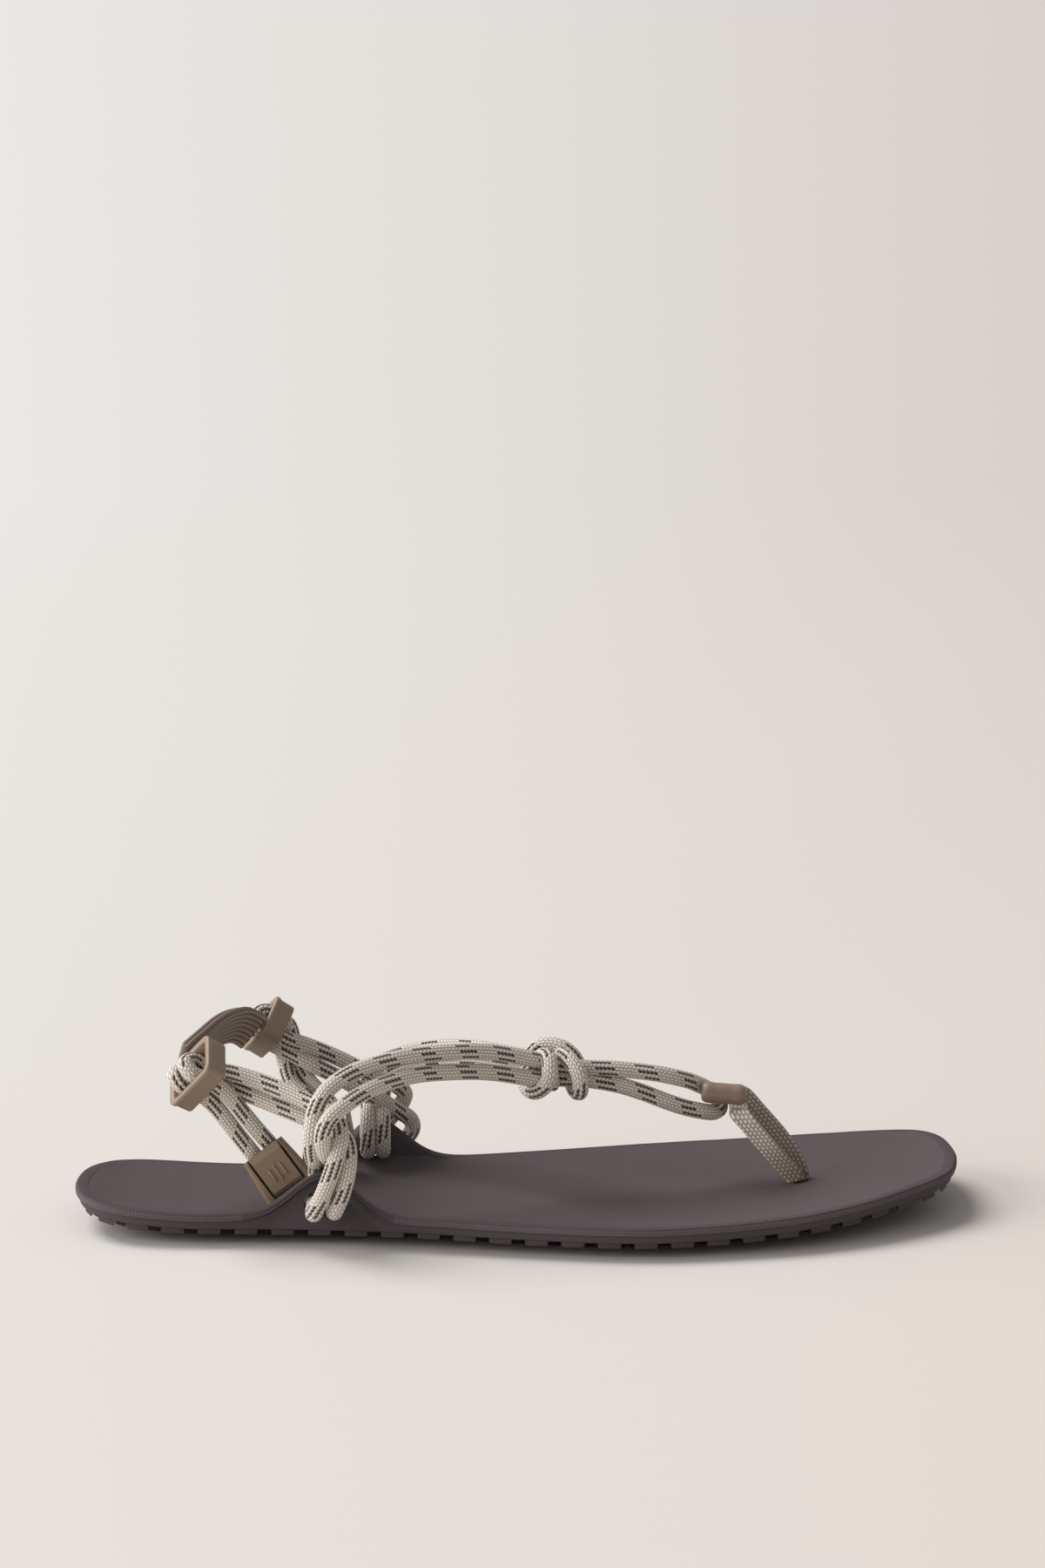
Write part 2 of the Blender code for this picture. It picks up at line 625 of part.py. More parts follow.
def build_lock(side):
    """Cord lock: channel-shaped housing with two wings, and the panel between them."""
    spec = LOCKS[side]
    a, o, w = frame_axes(spec["along"], spec["out"])
    at = Vector(spec["at"])
    slot = LOCK_PANEL_WIDE / 2 + LOCK_SLOT
    top, foot = LOCK_LONG / 2, LOCK_FOOT_CUT - LOCK_LONG / 2
    depth = LOCK_CHANNEL + LOCK_BACK
    bm = bmesh.new()
    loops = []
    for shift, half in ((foot, LOCK_WIDE / 2), (top, LOCK_TOP_WIDE / 2)):
        profile = (
            (-half, -depth), (-half, -0.9), (-half + 1.0, 0.0), (-slot, 0.0), (-slot, -LOCK_CHANNEL),
            (slot, -LOCK_CHANNEL), (slot, 0.0), (half - 1.0, 0.0), (half, -0.9), (half, -depth),
        )
        loops.append(add_ring(bm, [at + w * u + o * v + a * shift for u, v in profile]))
    bridge(bm, loops[0], loops[1])
    for loop in loops:
        for quad in ((0, 1, 2, 3, 4), (5, 6, 7, 8, 9), (0, 4, 5, 9)):
            bm.faces.new([loop[q] for q in quad])
    housing = finish("lock_housing_" + side, bm, MAT_PLASTIC)
    panel_profile = ((foot + 0.6, -LOCK_PANEL_THICK), (foot + 0.6, 0.0), (foot + 1.6, 0.6), (top - 2.0, 0.6),
                     (top + 0.2, -0.3), (top + 0.2, -LOCK_PANEL_THICK))
    prism("lock_panel_" + side, panel_profile, a, w, o, at,
          -LOCK_PANEL_WIDE / 2, LOCK_PANEL_WIDE / 2, MAT_PLASTIC)
    return housing


def band(name, route, wide, thick, lift, mat):
    """Flat strip along a route, lifted off it along its outer normal."""
    dense = smooth([Vector(row[:3]) for row in route], steps=2)
    turns = smooth([Vector(row[3:]) for row in route], steps=2)
    bm = bmesh.new()
    loops = []
    last = len(dense) - 1
    for i, (p, n) in enumerate(zip(dense, turns)):
        tangent = (dense[min(i + 1, last)] - dense[max(i - 1, 0)]).normalized()
        n = (n - tangent * n.dot(tangent)).normalized()
        across = tangent.cross(n)
        edge = min(0.6, thick / 3)
        ring = ((-wide / 2, edge), (-wide / 2 + edge, 0.0), (wide / 2 - edge, 0.0), (wide / 2, edge),
                (wide / 2, thick - edge), (wide / 2 - edge, thick), (-wide / 2 + edge, thick),
                (-wide / 2, thick - edge))
        loops.append(add_ring(bm, [p + across * u + n * (lift + v) for u, v in ring]))
    for low, high in zip(loops, loops[1:]):
        bridge(bm, low, high)
    bm.faces.new(loops[0])
    bm.faces.new(loops[-1])
    return finish(name, bm, mat)


def build_bead():
    bm = bmesh.new()
    tilt = math.radians(-BEAD_TILT)
    a = Vector((math.cos(tilt), 0.0, math.sin(tilt)))
    t = Vector((-math.sin(tilt), 0.0, math.cos(tilt)))
    w = Vector((0.0, 1.0, 0.0))
    at = Vector(BEAD_AT)
    long, wide, tall = BEAD_SIZE
    loops = []
    for shift, scale in ((-0.5, 0.74), (-0.42, 0.93), (-0.3, 1.0), (0.3, 1.0), (0.42, 0.93), (0.5, 0.74)):
        profile = rounded_rectangle(wide * scale, tall * scale, 2.6 * scale)
        loops.append(add_ring(bm, [at + a * (shift * long) + w * u + t * v for u, v in profile]))
    for low, high in zip(loops, loops[1:]):
        bridge(bm, low, high)
    bm.faces.new(loops[0])
    bm.faces.new(loops[-1])
    return finish("toe_bead", bm, MAT_PLASTIC)


sole = build_sole()
footbed = build_footbed()
for ear_side, ear in EARS.items():
    wall_y = -29.4 if ear_side == "lateral" else 28.4
    slot_at = (ear["slot_x"], wall_y, ear["slot_z"])
    cutter_y = slot_cutter("slot " + ear_side, slot_at, ear["slot"], ear["slot_high"], 16.0, "Y")
    cut(sole, cutter_y)
toe_cutter = slot_cutter("toe hole", (*TOE_HOLE, 9.6), TOE_HOLE_SIZE[1], TOE_HOLE_SIZE[0], 10.4, "Z")
cut(sole, toe_cutter)
cut(footbed, toe_cutter)
build_cords()
for ring_side in RINGS:
    build_ring(ring_side)
for lock_side in LOCKS:
    build_lock(lock_side)
band("heel_strap", STRAP_ROUTE, STRAP_WIDE, STRAP_THICK, -STRAP_THICK, MAT_STRAP)
band("heel_tab", STRAP_ROUTE[TAB_ROWS], TAB_WIDE, TAB_THICK, TAB_LIFT, MAT_PLASTIC)
band("toe_webbing", WEB_ROUTE, WEB_WIDE, WEB_THICK, -WEB_THICK / 2, MAT_WEB)
build_bead()
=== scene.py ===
# %% [markdown]
# # A rope sport sandal
# This lesson dresses the solids of a right-foot sandal: a moulded rubber sole, a thin footbed, and an
# upper that is nothing but braided cord, held by small plastic pieces. The solids already sit where they
# belong, so each step builds a finer piece in the same place and lets it stand for the solid.

# %% The frame
import math

import bmesh
import bpy
import numpy as np
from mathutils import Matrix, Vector


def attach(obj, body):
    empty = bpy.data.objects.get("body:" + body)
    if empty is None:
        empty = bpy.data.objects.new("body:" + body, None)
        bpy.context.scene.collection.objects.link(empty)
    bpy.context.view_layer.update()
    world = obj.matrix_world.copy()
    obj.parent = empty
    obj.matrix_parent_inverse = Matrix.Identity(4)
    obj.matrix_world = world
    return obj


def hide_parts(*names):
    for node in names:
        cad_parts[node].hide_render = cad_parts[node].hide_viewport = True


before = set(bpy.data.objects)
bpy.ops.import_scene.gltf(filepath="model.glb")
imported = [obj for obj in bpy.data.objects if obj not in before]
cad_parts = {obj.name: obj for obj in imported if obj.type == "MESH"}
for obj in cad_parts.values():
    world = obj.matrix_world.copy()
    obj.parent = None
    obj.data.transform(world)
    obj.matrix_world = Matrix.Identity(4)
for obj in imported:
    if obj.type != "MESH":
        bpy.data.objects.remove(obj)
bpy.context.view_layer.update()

MM = 0.001
CAMBER = 3.0                              # the tread's edge stands this far above its middle, in mm
MIDDLE = np.array((0.40, 5.10, -CAMBER))  # middle of the construction tables; heights start at the edge lugs
print("solids:", ", ".join(sorted(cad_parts)))

# %% [markdown]
# ## Small helpers
# Colours are written as sRGB hex codes, the way a paint chart gives them, and Blender wants linear light,
# so one function converts them. One more function adds a shader node, sets it and links it: every
# material below is then a short list of such calls. Lengths in the tables are millimetres.

# %% Colour and node helpers
def linear(code):
    """Linear colour from an sRGB hex code."""
    out = []
    for k in (0, 2, 4):
        c = int(code[k:k + 2], 16) / 255
        out.append(c / 12.92 if c <= 0.04045 else ((c + 0.055) / 1.055) ** 2.4)
    return (*out, 1.0)


def add(tree, kind, settings=None, inputs=None, out=0):
    """Add a shader node with its settings; inputs are values, or sockets to link."""
    node = tree.nodes.new("ShaderNode" + kind)
    for key, value in (settings or {}).items():
        setattr(node, key, value)
    for key, value in (inputs or {}).items():
        if isinstance(value, bpy.types.NodeSocket):
            tree.links.new(value, node.inputs[key])
        else:
            node.inputs[key].default_value = value
    return node.outputs[out]


def material(name, colour, roughness, ior):
    """A material with a Principled shader; returns the material, its tree and the shader's inputs."""
    mat = bpy.data.materials.new(name)
    mat.use_nodes = True
    inputs = mat.node_tree.nodes["Principled BSDF"].inputs
    inputs["Base Color"].default_value = linear(colour)
    inputs["Roughness"].default_value = roughness
    inputs["IOR"].default_value = ior
    print("material:", name)
    return mat, mat.node_tree, inputs


def dress(tree, shader, colour, height, depth, strength):
    """Link a colour, where there is one, and a relief of some millimetres to the shader."""
    if colour is not None:
        tree.links.new(colour, shader["Base Color"])
    bump = add(tree, "Bump", None, {"Height": height, "Distance": depth * MM, "Strength": strength})
    tree.links.new(bump, shader["Normal"])


# %% Curve helpers
CURVE_STEPS = 14                          # points per span of a curve


def curve(points, closed=False):
    """Dense Catmull-Rom curve through given points."""
    p = np.array(points, float)
    if closed:
        p = np.vstack((p[-1:], p, p[:2]))
    else:
        p = np.vstack((2 * p[:1] - p[1:2], p, 2 * p[-1:] - p[-2:-1]))
    t = (np.arange(CURVE_STEPS) / CURVE_STEPS)[:, None]
    parts = []
    for a, b, c, d in zip(p, p[1:], p[2:], p[3:]):
        parts.append(0.5 * (2 * b + (c - a) * t + (2 * a - 5 * b + 4 * c - d) * t ** 2
                            + (3 * b - a - 3 * c + d) * t ** 3))
    dense = np.vstack(parts)
    return dense if closed else np.vstack((dense, p[-2:-1]))


def lengths(points):
    """Running length along a polyline."""
    return np.concatenate(((0.0,), np.cumsum(np.linalg.norm(np.diff(points, axis=0), axis=1))))


def at_lengths(points, wanted):
    """Points at the wanted lengths along a polyline."""
    run = lengths(points)
    return np.column_stack([np.interp(wanted, run, points[:, k]) for k in range(points.shape[1])])


def evenly(points, parts):
    """The same polyline in equal parts."""
    return at_lengths(points, np.linspace(0, lengths(points)[-1], parts + 1))


def unit(v):
    """Vectors brought to length one."""
    return v / np.linalg.norm(v, axis=-1, keepdims=True)


# %% Mesh helpers
RUBBER_EDGE, PLASTIC_EDGE = 50, 60        # degrees; an edge that turns more is shaded sharp


def put(name, bm, mat, angle=None):
    """Turn a bmesh in millimetres into an object of the sandal."""
    bmesh.ops.recalc_face_normals(bm, faces=bm.faces[:])
    for v in bm.verts:
        v.co = (v.co - Vector(MIDDLE)) * MM
    mesh = bpy.data.meshes.new(name)
    bm.to_mesh(mesh)
    bm.free()
    mesh.materials.append(mat)
    mesh.shade_smooth()
    if angle:
        mesh.set_sharp_from_angle(angle=math.radians(angle))
    obj = bpy.data.objects.new(name, mesh)
    bpy.context.scene.collection.objects.link(obj)
    print(name, len(mesh.vertices), "vertices")
    return obj


def loops(bm, rings, ends=True):
    """Skin a stack of rings of points; returns the rings of vertices."""
    rows = [[bm.verts.new(p) for p in points] for points in rings]
    count = len(rows[0])
    for low, high in zip(rows, rows[1:]):
        for i in range(count):
            j = (i + 1) % count
            bm.faces.new((low[i], low[j], high[j], high[i]))
    if ends:
        bm.faces.new(rows[0])
        bm.faces.new(rows[-1])
    return rows


def belongs(obj, slot, *nodes):
    """The piece rides with the sandal and stands for its solids; the finish slot is not used."""
    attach(obj, "root")
    if nodes:
        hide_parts(*nodes)
    return obj


# %% [markdown]
# ## The outline of the sole
# A sole is drawn as one closed line seen from above, and everything else on it is measured from that
# line. The same short tables as the solid's are repeated here: the outline, the lift of heel and toe
# (the toe spring), and the two bell-shaped ears that carry the cord.

# %% Sole tables
OUTLINE = (
    # x along the foot, lateral edge, medial edge
    (-125.0, -13.0, 10.8), (-121.6, -20.6, 19.0), (-116.0, -25.6, 25.2), (-107.0, -28.6, 28.0),
    (-94.0, -30.0, 27.9), (-80.0, -30.0, 26.6), (-66.0, -30.4, 27.0), (-54.0, -31.2, 28.6),
    (-42.0, -32.6, 30.6), (-30.0, -34.3, 33.0), (-18.0, -36.8, 35.8), (-6.0, -40.0, 38.6),
    (8.0, -42.8, 42.0), (23.0, -45.2, 46.0), (38.0, -45.7, 50.0), (53.0, -43.6, 53.0),
    (67.0, -40.2, 54.6), (79.0, -36.3, 55.8), (90.0, -31.0, 55.8), (101.0, -24.0, 55.0),
    (110.0, -16.2, 53.4), (117.6, -8.8, 50.8), (122.4, -2.4, 45.6), (125.4, 4.8, 37.0),
)
HEEL_TIP = (-126.3, -2.0)
TOE_TIP = (127.1, 20.0)
RISE = (
    # x, lift of the tread off the floor
    (-128.0, 2.6), (-122.0, 2.1), (-114.0, 1.3), (-104.0, 0.6), (-94.0, 0.1), (-88.0, 0.0), (44.0, 0.0),
    (60.0, 0.25), (80.0, 1.0), (95.0, 2.0), (106.0, 3.0), (118.0, 4.1), (130.0, 5.1),
)
EARS = (
    # side, middle x, height over the rim, spread to the heel, spread to the toe,
    # middle of the slot, its length and its height
    (-1, -54.5, 13.0, 13.0, 11.0, (-54.8, -29.4, 9.5), 12.0, 6.4),
    (1, -42.0, 13.0, 10.5, 12.5, (-41.7, 28.4, 10.45), 9.4, 5.0),
)
LUG, RIM_Z, BAND = 1.6, 6.3, 2.3          # height of a lug, of the rim and of the band on the side
SHEET, DISH, GAP = 1.4, 0.9, 0.3          # the footbed's thickness, its hollow and the room under it
SHEET_LOW = 0.35                          # the sheet's laid edge lies this far below the rim
RIM_WALL, EAR_WALL = 2.0, 4.0             # thickness of the wall, plain and at an ear
EAR_FULL = 3.0                            # ear height from which the wall has its full thickness

# %% Outline measures
HALF = 232                                # points along each half of the outline


def rise(x):
    """Lift of the tread's edge at places along the foot."""
    return np.interp(x, [r[0] for r in RISE], [r[1] for r in RISE])


def ear_height(x, y):
    """Height of the ears over the rim at points beside the outline."""
    out = np.zeros_like(x)
    for side, middle, height, heel, toe, *_ in EARS:
        bell = height * np.exp(-((x - middle) / np.where(x < middle, heel, toe)) ** 2)
        out += np.where(np.sign(y) == side, bell, 0.0)
    return out


lateral = [(row[0], row[1]) for row in OUTLINE]
medial = [(row[0], row[2]) for row in reversed(OUTLINE)]
dense_outline = curve([HEEL_TIP, *lateral, TOE_TIP, *medial], closed=True)
toe_index = CURVE_STEPS * (len(lateral) + 1)
lateral_half = dense_outline[:toe_index + 1]
medial_half = np.vstack((dense_outline[toe_index:], dense_outline[:1]))[::-1]
LOOP = np.vstack((evenly(lateral_half, HALF)[:-1], evenly(medial_half, HALF)[:0:-1]))
tangent = unit(np.roll(LOOP, -1, 0) - np.roll(LOOP, 1, 0))
OUTWARD = np.column_stack((tangent[:, 1], -tangent[:, 0]))
EAR = ear_height(LOOP[:, 0], LOOP[:, 1])
EAR_SHARE = np.clip(EAR / EAR_FULL, 0, 1)
LIFT = rise(LOOP[:, 0])
CREST = RIM_Z + LIFT + EAR
WALL_FOOT = -(RIM_WALL + (EAR_WALL - RIM_WALL) * EAR_SHARE)
SHEET_EDGE = RIM_Z + LIFT - SHEET_LOW
print("outline", round(lengths(LOOP)[-1]), "mm round")


# %% Ring helpers
def ring(offset, height):
    """A line round the sole: offset outward from the outline, at a height."""
    spot = LOOP + OUTWARD * np.broadcast_to(offset, len(LOOP))[:, None]
    return np.column_stack((spot, np.broadcast_to(height, len(LOOP))))


def ladder(bm, row, points, strips, height):
    """Close a ring with quads in rows from the lateral to the medial side."""
    count = len(row)
    before = [row[0]] * len(strips)
    for k in range(1, HALF + 1):
        now = [row[HALF]] * len(strips)
        if k < HALF:
            a, b = points[k], points[count - k]
            now[0], now[-1] = row[k], row[count - k]
            for j, f in enumerate(strips[1:-1], 1):
                spot = a + (b - a) * f
                now[j] = bm.verts.new((spot[0], spot[1], height(spot[0], f, a, b)))
        for j in range(len(strips) - 1):
            corners = dict.fromkeys((before[j], before[j + 1], now[j + 1], now[j]))
            bm.faces.new(list(corners))
        before = now


# %% [markdown]
# ## Moulded rubber
# A sole like this is pressed from dark rubber in a steel mould. The mould's surface is finely blasted, so
# the rubber comes out matt, with soft broad highlights. The footbed is a little paler than the sides.
# Rubber is a dielectric with an index of refraction near 1.52. Two noise textures do the rest: a slow one
# drifts the grey, and a fine one drives a bump, both at sizes given in millimetres.

# %% Rubber material
DRIFT = 60.0                              # mm over which the grey drifts


def rubber(name, dark, pale, roughness, grain_mm, grain_depth):
    """Blasted rubber: a slow drift between two greys and a fine grain that softens the highlight."""
    mat, tree, shader = material(name, dark, roughness, 1.52)
    shader["Specular IOR Level"].default_value = 0.14     # the blasted grain swallows most of the highlight
    spot = add(tree, "TexCoord", out=3)
    drift = add(tree, "TexNoise", None, {"Vector": spot, "Scale": 1 / (DRIFT * MM), "Detail": 2.0})
    greys = add(tree, "Mix", {"data_type": "RGBA"}, {0: drift, 6: linear(dark), 7: linear(pale)}, out=2)
    grain = add(tree, "TexNoise", None, {"Vector": spot, "Scale": 1 / (grain_mm * MM), "Detail": 3.0})
    dress(tree, shader, greys, grain, grain_depth, 0.5)
    return mat


SOLE_RUBBER = rubber("moulded rubber, blasted mould", "4d4547", "574f51", 0.7, 0.7, 0.05)
# painted highlight: the knurl's rubber is the sole's rubber painted paler, for the light the pyramids' tips
# catch
KNURL_HIGHLIGHT_RUBBER = rubber("moulded rubber, cut knurl, painted highlight", "645a5c", "6f6567", 0.5, 0.7, 0.05)
FOOTBED_RUBBER = rubber("calendered rubber sheet, matt", "564d4e", "5e5556", 0.7, 0.9, 0.05)

# %% [markdown]
# ## The sole shell
# The side of the sole has three levels, and they are what makes it read as moulded: a lower wall over the
# lugs, a proud band with a knurled face, and a rounded lip that rolls over to the footbed. At the ears the
# band climbs with the edge. Each level is a ring round the outline, so the shell is a skin over a stack of
# rings, closed by rows across the bottom. The underside is slightly domed: its edge stands off the floor,
# which draws the dark line under a sandal.

# %% Section of the sole's side
STRIPS = (0.0, 0.15, 0.31, 0.44, 0.56, 0.69, 0.85, 1.0)
CAMBER_WIDE = 12.0                        # mm from the edge over which the underside comes down to the floor
LUG_INSET = 0.9                           # the lugs start this far inside the outline
WAIST = 0.9                               # hollow of the side below an ear
floor_line = LIFT + LUG
side_foot = floor_line + 0.6              # the rounded lower edge ends here
band_foot = CREST - BAND
SWEEP, SWEEP_WIDE = 2.2, 9.0              # rise of the sheet at an ear's foot, and how far in it starts
FLUSH = 0.29                              # lifts the sheet's edge to the rim, so that no step shows


def at_ear(plain, ear):
    """A size that changes from the plain rim to the ears."""
    return plain + (ear - plain) * EAR_SHARE


tuck = at_ear(1.15, 0.97) * WALL_FOOT     # where the shell goes under the footbed
section = [
    # the rounded lower edge: offset from the outline, height
    (-1.2, floor_line), (-0.6, floor_line + 0.04), (-0.1, floor_line + 0.25), (0.2, side_foot),
]
for share in (0.25, 0.5, 0.75, 0.93):
    waist = WAIST * EAR_SHARE * math.sin(math.pi * share)
    section.append((0.2 + 0.25 * share - waist, side_foot + (band_foot - side_foot) * share))
section += [
    # the proud band, with one groove in it round the ears
    (at_ear(0.40, -0.1), band_foot - 0.05), (at_ear(0.85, 0.95), band_foot + 0.08),
    (at_ear(1.1, 1.35), band_foot + 0.28), (at_ear(1.2, 1.5), CREST - 1.65),
    (at_ear(1.25, 1.45), CREST - 1.4), (at_ear(1.25, 1.0), CREST - 1.2),
    (at_ear(1.24, 1.15), CREST - 1.0), (at_ear(1.2, 1.2), CREST - 0.8),
    # the lip, rolling over to the inside
    (1.17, CREST - 0.45), (1.05, CREST - 0.2), (0.8, CREST - 0.05), (0.4, CREST),
    (0.1 * WALL_FOOT, CREST - 0.01 - 0.004 * EAR),
    (at_ear(0.5, 0.4) * WALL_FOOT, CREST - 0.05 - 0.025 * EAR),
    (at_ear(0.85, 0.66) * WALL_FOOT, CREST - 0.10 - 0.07 * EAR),
    (at_ear(1.0, 0.84) * WALL_FOOT, CREST - 0.13 - 0.2 * EAR),
    # under the edge of the footbed
    (tuck, SHEET_EDGE + FLUSH + at_ear(-0.11, SWEEP - 0.02)), (tuck - 0.3, SHEET_EDGE - 0.3),
    (tuck - 0.4, SHEET_EDGE - SHEET - GAP),
]


# %% Cutting helpers
def slot_cutter(name, centre, long, high, depth, axis):
    """A rounded slot, cut along axis Y or Z."""
    radius, steps = high / 2, 17
    turn = np.radians(np.concatenate((np.linspace(-90, 90, steps), np.linspace(90, 270, steps))))
    end = np.repeat((1, -1), steps) * (long / 2 - radius)
    u, v = end + radius * np.cos(turn), radius * np.sin(turn)
    rings = []
    for w in (-depth / 2, depth / 2):
        spot = (u, np.full_like(u, w), v) if axis == "Y" else (v, u, np.full_like(u, w))
        rings.append(np.column_stack(spot) + np.array(centre))
    bm = bmesh.new()
    loops(bm, rings)
    return put(name, bm, SOLE_RUBBER)


def cut(obj, cutters, angle):
    """Cut an object with the cutters, then drop them."""
    for cutter in cutters:
        mod = obj.modifiers.new("cut", "BOOLEAN")
        mod.operation = "DIFFERENCE"
        mod.solver = "EXACT"
        mod.object = cutter
    depsgraph = bpy.context.evaluated_depsgraph_get()
    mesh = bpy.data.meshes.new_from_object(obj.evaluated_get(depsgraph))
    obj.modifiers.clear()
    obj.data = mesh
    mesh.set_sharp_from_angle(angle=math.radians(angle))
    for cutter in cutters:
        bpy.data.objects.remove(cutter, do_unlink=True)


# %% Sole shell
def camber(spot):
    """How far the underside lies below its own edge."""
    inside = float(np.linalg.norm(LOOP - np.asarray(spot)[:2], axis=1).min()) - LUG_INSET
    return CAMBER * min(1.0, max(0.0, inside) / CAMBER_WIDE)


def under(x, f, a, b):
    """Height of the domed underside between two edge heights."""
    return a[2] + (b[2] - a[2]) * f - camber(a + (b - a) * f)


def dished(x, f, a, b):
    """Height under the footbed between two edge heights."""
    return a[2] + (b[2] - a[2]) * f - DISH * (1 - (2 * f - 1) ** 4)


def sole_shell():
    """The shell as one skin, before its holes are cut."""
    bm = bmesh.new()
    rings = [ring(*row) for row in section]
    rows = loops(bm, rings, ends=False)
    ladder(bm, rows[0], rings[0], STRIPS, under)
    ladder(bm, rows[-1], rings[-1], STRIPS, dished)
    return put("sole_shell", bm, SOLE_RUBBER, RUBBER_EDGE)


# %% Sole holes
SLOT_DEEP = 16.0                          # enough to pass right through an ear
TOE_HOLE, TOE_HOLE_SIZE = (81.5, 7.4, 9.6), (7.2, 6.4, 10.4)
shell = sole_shell()
cutters = [slot_cutter("slot", *ear[5:], SLOT_DEEP, "Y") for ear in EARS]
cutters.append(slot_cutter("toe hole", TOE_HOLE, *TOE_HOLE_SIZE, "Z"))
cut(shell, cutters, RUBBER_EDGE)
belongs(shell, "sole_rubber", "sole")

# %% [markdown]
# ## Tread lugs
# Under the sole, blocks of rubber are separated by narrow channels so that water can escape. They are laid
# in rows across the foot, shifted by one strip from row to row like bricks. An array modifier could repeat
# one block in a straight line, but these follow the curved outline, so a loop places them. Each is a small
# tapered prism whose edges are broken by a bevel, because a mould never leaves a knife edge.

# %% Lugs
ROWS = 58                                 # rows of lugs and channels, from heel to toe
LUG_SHARE = 0.64                          # share of a row's pitch that the lug takes
LUG_EVEN, LUG_ODD = (0, 2, 4, 6), (1, 3, 5)
LUG_TAPER = 0.92                          # size of a lug's foot beside its root
LUG_SUNK = 0.2                            # the root reaches this far into the shell
LUG_BEVEL, LUG_EDGE = 0.22, 40            # mm, and degrees from which an edge is shaded sharp


def lug_stations(half):
    """Ends of the rows along one half of the outline, long and short in turn."""
    k = np.arange(ROWS + 1)
    return at_lengths(half, lengths(half)[-1] * (k + (2 * LUG_SHARE - 1) * (k % 2)) / ROWS)


def tread_lugs():
    """All lugs as one mesh of tapered prisms."""
    edges = []
    for half, side in ((lateral_half, 1), (medial_half, -1)):
        spots = lug_stations(half)
        along = unit(np.gradient(spots, axis=0))
        inward = np.column_stack((-along[:, 1], along[:, 0])) * side
        edges.append(spots + inward * LUG_INSET)
    bm = bmesh.new()
    for k in range(2, ROWS - 2):
        for j in LUG_EVEN if k % 2 == 0 else LUG_ODD:
            corners = []
            left, right = STRIPS[j], STRIPS[j + 1]
            for row, f in ((k, left), (k, right), (k + 1, right), (k + 1, left)):
                corners.append(edges[0][row] + (edges[1][row] - edges[0][row]) * f)
            corners = np.array(corners)
            middle = corners.mean(0)
            foot = middle + (corners - middle) * LUG_TAPER
            low = rise(foot[:, 0]) - [camber(q) for q in foot]
            high = rise(corners[:, 0]) + LUG + LUG_SUNK - [camber(q) for q in corners]
            loops(bm, [np.column_stack((foot, low)), np.column_stack((corners, high))])
    bmesh.ops.bevel(bm, geom=bm.edges[:], offset=LUG_BEVEL, segments=2, affect="EDGES", profile=0.5)
    return put("tread_lugs", bm, SOLE_RUBBER, LUG_EDGE)


belongs(tread_lugs(), "sole_rubber")

# %% [markdown]
# ## Knurled band
# The band's face carries a fine diamond knurl, cut into the mould so that scuffs don't show. It is real
# relief, low four-sided pyramids in four staggered rows, because a bump would leave the edge smooth. The
# pyramids are 1.05 mm long instead of the real 0.9 mm or so, to show in the render. They are painted paler
# than the band, a painted highlight for the light their tips catch. Round the ears the band runs smooth.

# %% Knurl
KNURL_LONG, KNURL_HIGH, KNURL_PROUD = 1.05, 0.36, 0.22    # length, half height and relief of a pyramid
KNURL_ROWS, KNURL_FOOT = 4, 0.55          # number of rows, and the first one's height over the band's foot
KNURL_PITCH = 0.95 * KNURL_HIGH           # from row to row
KNURL_OUT = 1.22                          # the band's face, outward from the outline
KNURL_EDGE = 20                           # degrees; the pyramids stay crisp
SMOOTH_EAR = 0.5                          # mm of ear height where the knurl stops


def knurl():
    """All pyramids as one mesh."""
    closed = np.vstack((LOOP, LOOP[:1]))
    run = lengths(closed)
    count = int(run[-1] / KNURL_LONG)
    bm = bmesh.new()
    for r in range(KNURL_ROWS):
        here = (np.arange(count) + 0.5 * (r % 2)) * run[-1] / count
        spot = at_lengths(closed, here)
        behind, ahead = at_lengths(closed, here - 0.1), at_lengths(closed, here + 0.1)
        t = np.column_stack((unit(ahead - behind), np.zeros(count)))
        n = np.column_stack((t[:, 1], -t[:, 0], np.zeros(count)))
        ear = ear_height(spot[:, 0], spot[:, 1])
        z = RIM_Z + rise(spot[:, 0]) + ear - BAND + KNURL_FOOT + r * KNURL_PITCH
        middle = np.column_stack((spot, z)) + n * KNURL_OUT
        up = np.array((0.0, 0.0, KNURL_HIGH))
        for i in np.flatnonzero(ear < SMOOTH_EAR):
            side = t[i] * KNURL_LONG / 2
            corners = [bm.verts.new(middle[i] + d) for d in (side, up, -side, -up)]
            tip = bm.verts.new(middle[i] + n[i] * KNURL_PROUD)
            bm.faces.new(corners)
            for a, b in zip(corners, corners[1:] + corners[:1]):
                bm.faces.new((a, b, tip))
    return put("knurled_band", bm, KNURL_HIGHLIGHT_RUBBER, KNURL_EDGE)


belongs(knurl(), "sole_rubber")

# %% [markdown]
# ## Footbed
# The footbed is a thin sheet of softer rubber laid into the rim. It is slightly dished for the foot, and
# near the ears it sweeps up to meet them. Its edge lies flush with the rim, so that sheet and rim read as
# one surface. A fine grid is used, so that the sweep shows in the highlight without facets.

# %% Footbed
ACROSS = 48                               # strips from side to side
DISH_WIDE = 22.0                          # the dish deepens over this distance from the rim


def sheet_top(x, f, a, b):
    """Height across the sheet: dished, and swept up to the ears at its two edges."""
    wide = float(np.linalg.norm((b - a)[:2]))
    inside = float(np.linalg.norm(LOOP - (a + (b - a) * f)[:2], axis=1).min())
    level = RIM_Z + float(rise(x)) - SHEET_LOW + FLUSH
    near = max(0.0, 1 - f * wide / SWEEP_WIDE) ** 2
    far = max(0.0, 1 - (1 - f) * wide / SWEEP_WIDE) ** 2
    swept = ((a[2] - level) * near + (b[2] - level) * far) / max(1.0, near + far)
    rest = min(1.0, max(0.0, 1 - (inside - RIM_WALL) / DISH_WIDE))
    return level + swept - DISH * (1 - rest ** 2)


